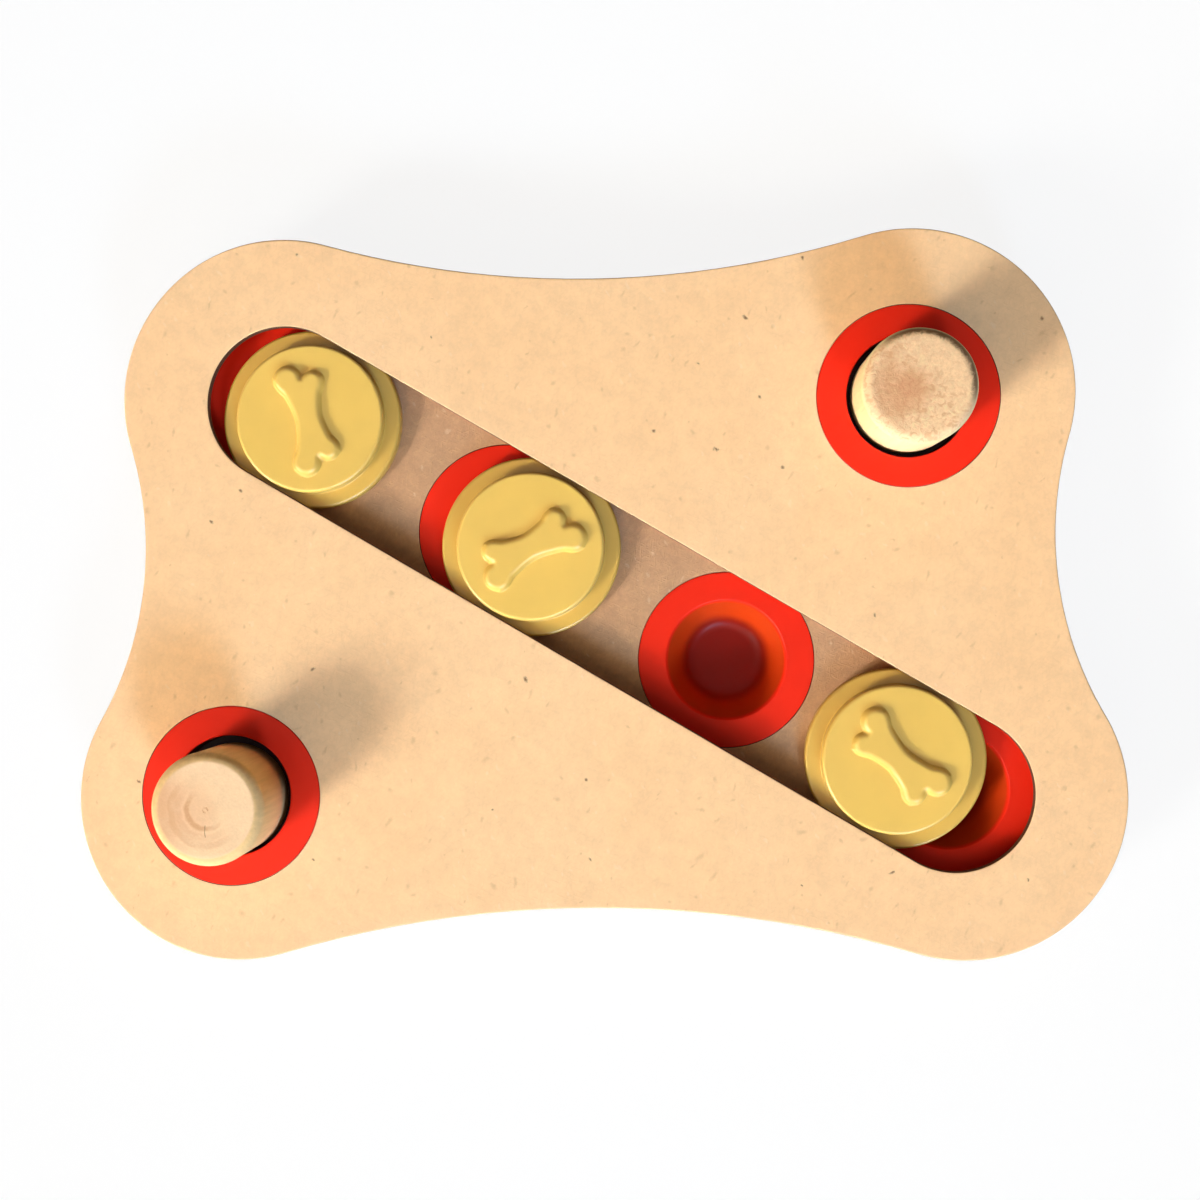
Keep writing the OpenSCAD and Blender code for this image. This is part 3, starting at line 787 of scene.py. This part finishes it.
def clean_end_grain(tree, where, s, xy):
    """Smooth end grain: soft rings, clearest left below the pith, a pinkish left edge, a small
    pith mark and a hairline crack under it. Returns the colour and the relief."""
    x, y, reach = plan_places(tree, where, xy)
    clouds = noise(tree, where, 230.0, roughness=0.6, distortion=0.4)
    fine = noise(tree, where, 1500.0, roughness=0.6)
    wander = noise(tree, where, 150.0)
    warped = plus(tree, reach, times(tree, wander, 2.4 * MM))
    colour_now = tint(tree, rgba(s.clean_end), clouds, 0.955, 1.015)
    colour_now = tint(tree, colour_now, fine, 0.97, 1.02)
    lower_left = remap(tree, plus(tree, x, times(tree, y, 0.9)), 3 * MM, -5 * MM)
    broken = times(tree, remap(tree, fine, 0.3, 0.5, 0.5, 1.0),
                   remap(tree, clouds, 0.28, 0.5, 0.2, 1.0))
    for radius, half, strength in RINGS:
        ring = band(tree, warped, (radius - half) * MM, (radius + half) * MM, 0.8 * MM)
        shown = times(tree, times(tree, ring, lower_left), broken)
        colour_now = toned(tree, colour_now, shown, strength, s.heart)
    left = remap(tree, x, -6 * MM, -13 * MM)
    cloudy = times(tree, left, remap(tree, clouds, 0.3, 0.65, 0.5, 1.0))
    colour_now = toned(tree, colour_now, cloudy, 0.42, s.heart)
    blush = remap(tree, plus(tree, warped, times(tree, x, 0.8)), 11 * MM, 2 * MM)
    colour_now = toned(tree, colour_now, blush, 0.26, s.heart)
    pith = times(tree, band(tree, reach, 0.55 * MM, 0.75 * MM, 0.25 * MM),
                 remap(tree, noise(tree, where, 1100.0), 0.38, 0.62))
    bent = plus(tree, x, times(tree, minus(tree, wander, 0.5), 1.4 * MM))
    crack = times(tree, band(tree, bent, -0.05 * MM, 0.05 * MM, 0.12 * MM),
                  band(tree, y, -7.4 * MM, -4.6 * MM, 0.6 * MM))
    colour_now = toned(tree, colour_now, pith, 0.9, s.heart)
    colour_now = toned(tree, colour_now, crack, 0.4, s.pit_and_shade)
    marks = maths(tree, "MAXIMUM", pith, crack)
    return colour_now, minus(tree, times(tree, fine, 0.3), times(tree, marks, 0.5))


def turned_wood(name, s, xy, side_tone, end_grain):
    """Turned hardwood. Along the side the grain runs up in streaks with short pores; the
    end_grain value on the piece says where the end's own finish shows."""
    material, tree, shader, where = new_material(name, Roughness=0.75, Specular_IOR_Level=0.06)
    end, end_relief = end_grain(tree, where, s, xy)
    streaks = noise(tree, stretched(tree, where, (1.0, 1.0, 0.06)), 700.0, detail=4.0,
                    roughness=0.6)
    pores = noise(tree, stretched(tree, where, (1.0, 1.0, 0.05)), 1900.0, detail=1.0)
    side = tint(tree, rgba(side_tone), streaks, 0.92, 1.03)
    side = toned(tree, side, remap(tree, pores, 0.62, 0.75), 0.18, s.heart)
    shows = add(tree, "ShaderNodeAttribute", attribute_name="end_grain").outputs["Fac"]
    tree.links.new(blend(tree, shows, side, end), shader.inputs["Base Color"])
    height = plus(tree, times(tree, end_relief, shows), times(tree, streaks, 0.4))
    bumped(tree, shader, height, 0.18 * MM)
    return material


def rubber(s):
    """Matt rubber with a dusty bloom and fine pits."""
    material, tree, shader, where = new_material("foot_rubber", Roughness=0.85,
                                                 Specular_IOR_Level=0.3)
    bloom = noise(tree, where, 240.0, detail=4.0, roughness=0.6)
    tree.links.new(tint(tree, rgba(s.rubber), bloom, 0.85, 1.25), shader.inputs["Base Color"])
    bumped(tree, shader, noise(tree, where, 3000.0, detail=2.0), 0.05 * MM)
    return material


def zinc_plate(s):
    """Bright zinc with a faint crystalline cloud and fine turning marks."""
    material, tree, shader, where = new_material("zinc_plate", Metallic=1.0)
    cloud = noise(tree, where, 500.0)
    tree.links.new(tint(tree, rgba(s.zinc), cloud, 0.88, 1.06), shader.inputs["Base Color"])
    tree.links.new(remap(tree, cloud, 0.3, 0.7, 0.26, 0.42), shader.inputs["Roughness"])
    bumped(tree, shader, noise(tree, where, 4000.0, detail=2.0), 0.02 * MM)
    return material


# ---------------------------------------------------------------- pieces

def filled(loops, z, up):
    """Flat face between closed loops in plan: the first is the outside, the rest are holes."""
    points = np.concatenate(loops)
    rings = [[Vector((x, y, 0.0)) for x, y in loop] for loop in loops]
    faces = np.array(tessellate_polygon(rings))
    a, b, c = (points[faces[:, k]] for k in range(3))
    area = (b[:, 0] - a[:, 0]) * (c[:, 1] - a[:, 1]) - (b[:, 1] - a[:, 1]) * (c[:, 0] - a[:, 0])
    wrong = (area > 0) != up
    faces[wrong] = faces[wrong][:, ::-1]
    return np.column_stack([points, np.full(len(points), z)]), faces


def edge_parts(path, out, profile, wall):
    """One profile carried along an outline, in two strips: the rounded edges, which show the
    face's finish (material 0), and the steep wall between them, which shows material wall."""
    points, faces = carried(path, out, profile)
    run = np.abs(np.diff(profile, axis=0))
    steep = np.repeat(run[:, 1] > run[:, 0], len(path))
    return [(points, faces[~steep], 0, True), (points, faces[steep], wall, True)]


def layer_parts(low, high, rims):
    """One board layer. Each rim is an outline with its directions and the roundings of its
    lower and upper edge; the first is the outside (material 1), the others are cuts
    (material 2)."""
    parts = []
    above, below = [], []
    for path, out, lower, upper in rims:
        profile = rounded([(-2 * lower, low, 0), (0, low, lower), (0, high, upper),
                           (-2 * upper, high, 0)], **SHARP)
        parts += edge_parts(path, out, profile, 2 if parts else 1)
        below.append(path + out * profile[0, 0])
        above.append(path + out * profile[-1, 0])
    return parts, below, above


def closed_layer(parts, below, above, low, high):
    """The layer's edge parts with its flat faces added above and below."""
    for loops, z, up in ((above, high, True), (below, low, False)):
        points, faces = filled(loops, z, up)
        parts.append((points, faces, 0, False))
    return parts


class FEEDER_OT_boards(Operator):
    """Builds the four MDF layers with their slot, channel and cup holes"""

    bl_idname = "feeder.boards"
    bl_label = "Boards"

    def execute(self, context):
        s = context.scene.feeder_board
        # The cut walls take the dark cut colour, which is painted shade.
        walls = (mdf_edge("mdf_edge", s.edge), mdf_edge("mdf_cut_shade", s.cut))
        sanded = (mdf_face("mdf_face", s, s.face, mottle=1.15, fibre_share=0.09,
                           pale_share=0.14), *walls)
        # The cup board's darker face is partly painted shade for the slot's floor.
        raw = (mdf_face("mdf_raw_shaded_face", s, s.raw_shaded_face, mottle=2.4, fibre_share=0.22,
                        pale_share=0.16), *walls)
        flange = width(SLIDERS[0])
        body_hole = s.cup_body + 2 * s.seat_gap
        corner_seats = [hole_outline(centre(n), width(n) + 2 * s.seat_gap) for n in PEG_CUPS]
        corner_holes = [hole_outline(centre(n), body_hole) for n in PEG_CUPS]
        cuts = {
            "top_board": [(*slot_outline(s.slot_width), s.slot_radius)]
            + [(*seat, s.arris) for seat in corner_seats],
            "channel_board": [(*slot_outline(flange + 2 * s.channel_gap), s.arris)]
            + [(*hole, s.arris) for hole in corner_holes],
            "cup_board": [(*hole, s.arris) for hole in corner_holes],
            "base_panel": [],
        }
        for name, holes in cuts.items():
            low = s.rim_radius if name == "base_panel" else s.arris
            high = s.rim_radius if name == "top_board" else s.arris
            rims = [(*board_outline(s), low, high)]
            rims += [(path, out, s.arris, upper) for path, out, upper in holes]
            layer = layer_parts(bottom(name), top(name), rims)
            if name == "cup_board":
                self.add_seats(s, *layer)
            parts = closed_layer(*layer, bottom(name), top(name))
            finish = raw if name == "cup_board" else sanded
            make_piece(name + "_mdf", parts, finish, name, BOARD_BODY)
        return {"FINISHED"}

    def add_seats(self, s, parts, below, above):
        """Adds the stepped holes that the track cups hang in: a wider step at the top takes
        the flange."""
        low, high = bottom("cup_board"), top("cup_board")
        step = high - s.flange_thickness
        ledge = (width(TRACK_CUPS[0]) - s.cup_body) / 2
        corner_points = [(-2 * s.arris, low), (0, low), (0, step), (-ledge, step),
                         (-ledge, high), (-ledge - 2 * s.arris, high)]
        profile = filleted(corner_points, (s.arris,) * 4, **SHARP)
        for name in TRACK_CUPS:
            path, out = hole_outline(centre(name), s.cup_body + 2 * s.seat_gap)
            parts.extend(edge_parts(path, out, profile, 2))
            below.append(path + out * profile[0, 0])
            above.append(path + out * profile[-1, 0])


class FEEDER_OT_cups(Operator):
    """Builds the four track cups and the two peg cups as surfaces of revolution"""

    bl_idname = "feeder.cups"
    bl_label = "Cups"

    def execute(self, context):
        s = context.scene.feeder_cup
        flange = context.scene.feeder_board.flange_thickness
        track = moulded("track_cup_plastic", s.plastic, roughness=0.40, wall=s.track_wall_shade,
                        floor=s.track_floor_shade, Specular_IOR_Level=0.15)
        peg = moulded("peg_cup_plastic", s.plastic, roughness=0.40, wall=s.peg_socket_shade,
                      floor=s.peg_pocket_shade, Specular_IOR_Level=0.15)
        for name in TRACK_CUPS:
            self.build(s, name, self.track_profile(s, name, flange), track, s.depth)
        for name in PEG_CUPS:
            self.build(s, name, self.peg_profile(s, name), peg, s.socket_depth)
        return {"FINISHED"}

    def build(self, s, name, profile, plastic, depth):
        """Turns one profile about the cup's axis, and stores how deep inside each point is, for
        the painted shade inside: 0 at the mouth's rim and outside, 1 at the given depth and below
        it."""
        points, faces = revolved(spread(profile, CUP_STEP), turned(CUP_SIDES))
        parts = [(at(points, centre(name)), faces, 0, True)]
        piece = make_piece(name + "_shell", parts, (plastic,), name, BOARD_BODY)
        points = places(piece) - np.append(centre(name), 0)
        reach = np.hypot(points[:, 0], points[:, 1])
        # The stored depth places the painted shade down the cup's inside.
        under = (top(name) - points[:, 2] - MOUTH_RIM) / (depth - MOUTH_RIM)
        store(piece, "painted_shade", np.clip(under, 0, 1) * (reach < s.mouth / 2 + MOUTH_MARGIN))

    def track_profile(self, s, name, flange):
        """Outside from the floor's middle up and over the flange, then down the cone."""
        rim, high = width(name) / 2, top(name)
        floor = high - s.depth
        return rounded([
            (0, floor - s.wall, 0),
            (s.floor / 2 + s.wall, floor - s.wall, s.foot),
            (s.mouth / 2 + s.wall, high - flange, s.neck),
            (rim, high - flange, s.flange_underside),
            (rim, high, s.flange_edge),
            (s.mouth / 2, high, s.mouth_edge),
            (s.floor / 2, floor, s.floor_edge),
            (0, floor, 0)])

    def peg_profile(self, s, name):
        """Like a track cup, with a straight socket over a smaller tapered pocket."""
        rim, high = width(name) / 2, top(name)
        seat = bottom("top_board")
        step = high - s.socket_depth
        floor = step - s.pocket_depth
        body = s.mouth / 2 + s.wall
        return rounded([
            (0, floor - s.wall, 0),
            (s.pocket_floor / 2 + s.wall, floor - s.wall, s.foot),
            (s.pocket / 2 + s.wall, step - s.wall, s.step_neck),
            (body, step - s.wall, s.step_edge),
            (body, seat, s.step_neck),
            (rim, seat, s.flange_underside),
            (rim, high, s.flange_edge),
            (s.mouth / 2, high, s.mouth_edge),
            (s.mouth / 2, step, s.step_corner),
            (s.pocket / 2, step, s.pocket_edge),
            (s.pocket_floor / 2, floor, s.pocket_corner),
            (0, floor, 0)])


def bone_height(s, x, y, angle):
    """Height of the relief, from 0 to 1, at points of the disc. The depth inside the outline
    is the smooth greatest of a shaft and four knuckle circles. The wall starts wall_out of
    its width outside the outline, steeply, and rounds over: the share t across the wall
    gives the height 1 - (1 - t) ** wall_roundness. The shaft's half width flares from the
    waist as the place along the bone to the power shaft_flare, on either side to its own
    pair of knuckles."""
    u = x * math.cos(angle) + y * math.sin(angle)
    v = -x * math.sin(angle) + y * math.cos(angle)
    gap, waist = s.knuckle_gap / 2, s.bone_waist / 2
    large_x, small_x = (s.bone_span + s.bone_splay) / 2, (s.bone_span - s.bone_splay) / 2
    knuckle = np.where(v < 0, s.large_knuckle, s.small_knuckle)
    share_out = np.clip(np.abs(u) / np.where(v < 0, large_x, small_x), 0, 1)
    half_end = gap + s.shaft_reach * knuckle
    half_width = waist + (half_end - waist) * share_out ** s.shaft_flare
    end = large_x + (small_x - large_x) * np.clip(v / s.knuckle_gap + 0.5, 0, 1) + s.notch_out
    inside = np.minimum(half_width - np.abs(v), end - np.abs(u))
    soft = s.knuckle_blend
    pairs = ((large_x, -gap, s.large_knuckle), (small_x, gap, s.small_knuckle))
    for along, across, radius in pairs:
        for side in (-1, 1):
            depth = radius - np.hypot(u - side * along, v - across)
            mix = np.clip(0.5 + 0.5 * (depth - inside) / soft, 0, 1)
            inside = inside * (1 - mix) + depth * mix + soft * mix * (1 - mix)
    return 1 - (1 - np.clip(inside / s.bone_wall + s.wall_out, 0, 1)) ** s.wall_roundness


class FEEDER_OT_sliders(Operator):
    """Builds the three sliders with their flange, disc and bone relief"""

    bl_idname = "feeder.sliders"
    bl_label = "Sliders"

    def execute(self, context):
        s = context.scene.feeder_slider
        # Painted shade: the flanges take the darker flange colour.
        plastic = moulded("slider_plastic", s.plastic, roughness=0.36, wall=s.flange,
                          floor=s.flange, Specular_IOR_Level=0.65)
        for name, angle in zip(SLIDERS, s.bone_angles):
            low, disc_top = bottom(name), top(name) - s.bone_height
            ceiling = disc_top - s.skin
            ledge = low + s.flange_thickness
            profile = rounded([
                (0, ceiling, 0),
                (s.hollow / 2, ceiling, s.hollow_corner),
                (s.hollow / 2, low, s.hollow_edge),
                (width(name) / 2, low, s.flange_underside),
                (width(name) / 2, ledge, s.flange_edge),
                (s.disc / 2, ledge, s.ledge_corner),
                (s.disc / 2, disc_top, s.disc_edge),
                (s.disc / 2 - 3 * s.disc_edge, disc_top, 0)])
            # A grid that carries the bone closes the disc inside its rounded edge.
            x, y, ring = round_disc(float(profile[-1, 0]), DISC_LINES, DISC_CROWD)
            lift = bone_height(s, x, y, angle) * s.bone_height
            relief = np.stack([x, y, disc_top + lift], axis=-1).reshape(-1, 3)
            rim = np.arctan2(y.ravel()[ring], x.ravel()[ring])
            side, side_faces = revolved(profile, rim)
            # The side's last ring takes the grid's rim exactly, so that the two weld.
            side[-len(ring):, :2] = relief[ring, :2]
            parts = [(at(side, centre(name)), side_faces, 0, True),
                     (at(relief, centre(name)), grid_faces(*x.shape, closed=False), 0, True)]
            piece = make_piece(name + "_disc", parts, (plastic,), name, name)
            # The stored value marks the flange below the disc's foot for its painted shade.
            under = ledge + FLANGE_FADE - places(piece)[:, 2]
            store(piece, "painted_shade", np.clip(under / FLANGE_FADE, 0, 1))
        return {"FINISHED"}


class FEEDER_OT_pegs(Operator):
    """Builds the two turned pegs"""

    bl_idname = "feeder.pegs"
    bl_label = "Pegs"

    def execute(self, context):
        s = context.scene.feeder_peg
        finishes = {"upper_peg": (s.side, torn_end_grain, s.torn_rim),
                    "lower_peg": (s.warm_side, clean_end_grain, s.clean_rim)}
        for seed, (name, (side_tone, end_grain, rim)) in enumerate(finishes.items()):
            wood = turned_wood(name + "_wood", s, centre(name), side_tone, end_grain)
            low, high, r = bottom(name), top(name), width(name) / 2
            profile = rounded([(0, low, 0), (r, low, s.bottom_radius), (r, high, s.top_radius),
                               (0, high, 0)], step=math.radians(PEG_TURN))
            points, faces = revolved(spread(profile, PEG_STEP), turned(PEG_SIDES))
            points = self.worn(points, low, high, r, s.wear, seed)
            parts = [(at(points, centre(name)), faces, 0, True)]
            piece = make_piece(name + "_wood", parts, (wood,), name, name)
            self.mark_ends(piece, name, r - rim, s.top_radius)
        return {"FINISHED"}

    def worn(self, points, low, high, r, wear, seed):
        """Hand-sanded unevenness: a few slow waves round and up the side, of turns 2, 3, 5 and
        9, draw the surface in by wear * (1 + sin(wave)) / turns each, fading to the axis."""
        waves = np.random.default_rng(WEAR_SEED + seed)
        a = np.arctan2(points[:, 1], points[:, 0])
        up = (points[:, 2] - low) / (high - low)
        dent = np.zeros(len(points))
        for turns in (2, 3, 5, 9):
            phase, climb = waves.uniform(0, 2 * math.pi, 2)
            dent += (1 + np.sin(turns * a + phase + climb * up)) / turns
        reach = np.hypot(points[:, 0], points[:, 1]) / r
        factor = 1 - wear * dent / r * reach ** 4
        return points * np.column_stack([factor, factor, np.ones_like(factor)])

    def mark_ends(self, piece, node, reach, edge):
        """Stores how far each point faces along the grain: 1 on the ends, 0 on the side, with
        a narrow change at the given reach from the axis."""
        points = places(piece) - np.append(centre(node), 0)
        out = np.hypot(points[:, 0], points[:, 1])
        ends = (points[:, 2] > top(node) - edge) | (points[:, 2] < bottom(node) + edge)
        shows = np.clip((reach - out) / END_FADE + 0.5, 0, 1) * ends
        store(piece, "end_grain", shows * shows * (3 - 2 * shows))


class FEEDER_OT_feet(Operator):
    """Builds the four rubber feet and finishes their screws"""

    bl_idname = "feeder.feet"
    bl_label = "Feet"

    def execute(self, context):
        s = context.scene.feeder_foot
        finish = rubber(s)
        for name in FEET:
            low, high, r = bottom(name), top(name), width(name) / 2
            well, hole = s.well / 2, s.hole / 2
            profile = rounded([
                (hole, high, 0),
                (hole, low + s.cone, s.crease),
                (well, low + s.lip, s.crease),
                (well, low, s.rim_radius),
                (r, low, s.edge_radius),
                (r, high, s.rim_radius),
                (hole, high, 0)], support=FINE)
            points, faces = revolved(profile, turned(FOOT_SIDES))
            make_piece(name + "_rubber", [(at(points, centre(name)), faces, 0, True)],
                       (finish,), name, BOARD_BODY)
        zinc = zinc_plate(s)
        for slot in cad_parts["foot_screws"].material_slots:
            slot.material = zinc
        return {"FINISHED"}


# ---------------------------------------------------------------- stage

def lamp(name, target, bearing, height, away, size, part, tone, beam=None):
    """Round area lamp aimed at a point of the top face, from a bearing and a height in
    degrees. A face turned up there gets part of full light from it: a lamp of power P at
    distance d and height h lights it with P*sin(h) / (pi*d)**2. Beam is the half angle in
    degrees that a grid on the lamp lets through; it brightens the lamp's middle by the mean
    of tan(beam) - tan(off axis) over tan(beam) - beam."""
    data = bpy.data.lights.new(name, "AREA")
    data.shape = "DISK"
    data.size = size
    data.energy = part * (math.pi * away) ** 2 / math.sin(math.radians(height))
    if beam is not None:
        half = math.radians(beam)
        data.spread = 2 * half
        data.energy *= (math.tan(half) - half) / (math.tan(half) - size / 3 / away)
    data.color = tone
    obj = bpy.data.objects.new(name, data)
    aim = Vector((1.0, 0.0, 0.0))
    aim.rotate(Euler((0.0, -math.radians(height), math.radians(bearing))))
    obj.location = aim * away + Vector(target)
    obj.rotation_euler = aim.to_track_quat("Z", "Y").to_euler()
    bpy.context.scene.collection.objects.link(obj)
    return obj


def seen_directly(tree):
    """1 for rays that show the backdrop itself: camera, mirror-like and see-through ones."""
    path = add(tree, "ShaderNodeLightPath").outputs
    seen = maths(tree, "MAXIMUM", path["Is Camera Ray"], path["Is Glossy Ray"])
    return maths(tree, "MAXIMUM", seen, path["Is Transmission Ray"])


class FEEDER_OT_stage(Operator):
    """Sets up the camera, the lamps, the white floor and the even daylight"""

    bl_idname = "feeder.stage"
    bl_label = "Stage"

    def execute(self, context):
        s = context.scene.feeder_stage
        self.camera(context.scene, s)
        self.world(context.scene, s)
        self.floor(s)
        middle = (0.0, 0.0, top("top_board"))
        upper_left = (-0.03, 0.04, top("top_board"))
        lamp("key_lamp", middle, bearing=217, height=26, away=4.0, size=1.3,
             part=s.key_share, tone=s.key_tone, beam=11)
        lamp("fill_lamp", upper_left, bearing=290, height=29, away=2.8, size=0.8,
             part=s.fill_share, tone=s.fill_tone, beam=11)
        lamp("soft_lamp", middle, bearing=239, height=48, away=3.2, size=3.2,
             part=s.soft_share, tone=s.soft_tone)
        context.scene.view_settings.view_transform = "Standard"
        return {"FINISHED"}

    def camera(self, scene, s):
        """Camera above the board, looking almost straight down."""
        data = bpy.data.cameras.new("camera")
        data.sensor_width = 36.0
        data.lens = s.lens
        camera = bpy.data.objects.new("camera", data)
        camera.location = s.camera_place
        camera.rotation_euler = s.camera_turn
        scene.collection.objects.link(camera)
        scene.camera = camera

    def world(self, scene, s):
        """Even daylight on the object, and plain white where the world shows."""
        world = bpy.data.worlds.new("studio")
        world.use_nodes = True
        tree = world.node_tree
        tree.nodes.clear()
        light = add(tree, "ShaderNodeBackground",
                    {"Color": rgba(s.sky_tone), "Strength": s.sky_share})
        white = add(tree, "ShaderNodeBackground", {"Color": (1, 1, 1, 1), "Strength": 1.0})
        both = add(tree, "ShaderNodeMixShader", {0: seen_directly(tree), 1: light.outputs[0],
                                                 2: white.outputs[0]})
        add(tree, "ShaderNodeOutputWorld", {0: both.outputs[0]})
        scene.world = world

    def floor(self, s):
        """Wide white floor: part of its white glows where it is seen, so that it stays
        white yet keeps the object's shadow."""
        half = FLOOR_SPAN / 2
        mesh = bpy.data.meshes.new("floor")
        corners_xy = [(-half, -half, 0), (half, -half, 0), (half, half, 0), (-half, half, 0)]
        mesh.from_pydata(corners_xy, [], [(0, 1, 2, 3)])
        material = bpy.data.materials.new("floor_white")
        material.use_nodes = True
        tree = material.node_tree
        tree.nodes.clear()
        lit = add(tree, "ShaderNodeBsdfDiffuse", {"Color": (0.9, 0.9, 0.9, 1.0)})
        glow = add(tree, "ShaderNodeEmission", {"Color": (1, 1, 1, 1), "Strength": 1.0})
        part = times(tree, seen_directly(tree), s.floor_glow)
        both = add(tree, "ShaderNodeMixShader", {0: part, 1: lit.outputs[0], 2: glow.outputs[0]})
        add(tree, "ShaderNodeOutputMaterial", {0: both.outputs[0]})
        mesh.materials.append(material)
        plane = bpy.data.objects.new("floor", mesh)
        bpy.context.scene.collection.objects.link(plane)


# ---------------------------------------------------------------- panel and registration

SETTINGS = {
    "feeder_board": FeederBoardSettings,
    "feeder_cup": FeederCupSettings,
    "feeder_slider": FeederSliderSettings,
    "feeder_peg": FeederPegSettings,
    "feeder_foot": FeederFootSettings,
    "feeder_stage": FeederStageSettings,
}
OPERATORS = (FEEDER_OT_stage, FEEDER_OT_boards, FEEDER_OT_cups, FEEDER_OT_sliders,
             FEEDER_OT_pegs, FEEDER_OT_feet)


class FEEDER_PT_sidebar(Panel):
    """Lists the pieces of the board with their settings"""

    bl_label = "Puzzle Feeder"
    bl_space_type = "VIEW_3D"
    bl_region_type = "UI"
    bl_category = "Feeder"

    def draw(self, context):
        for operator in OPERATORS:
            self.layout.operator(operator.bl_idname)
        for name, group in SETTINGS.items():
            box = self.layout.box()
            box.label(text=name.replace("_", " ").capitalize())
            for key in group.__annotations__:
                box.prop(getattr(context.scene, name), key)


def register():
    """Registers the settings, the operators and the panel."""
    for name, group in SETTINGS.items():
        bpy.utils.register_class(group)
        setattr(bpy.types.Scene, name, PointerProperty(type=group))
    for item in OPERATORS + (FEEDER_PT_sidebar,):
        bpy.utils.register_class(item)


def unregister():
    """Takes back what register added."""
    for item in reversed(OPERATORS + (FEEDER_PT_sidebar,)):
        bpy.utils.unregister_class(item)
    for name, group in reversed(SETTINGS.items()):
        delattr(bpy.types.Scene, name)
        bpy.utils.unregister_class(group)


def main():
    """Builds everything."""
    register()
    bpy.ops.feeder.stage()
    bpy.ops.feeder.boards()
    bpy.ops.feeder.cups()
    bpy.ops.feeder.sliders()
    bpy.ops.feeder.pegs()
    bpy.ops.feeder.feet()
    bpy.context.view_layer.update()


if __name__ == "__main__":
    main()
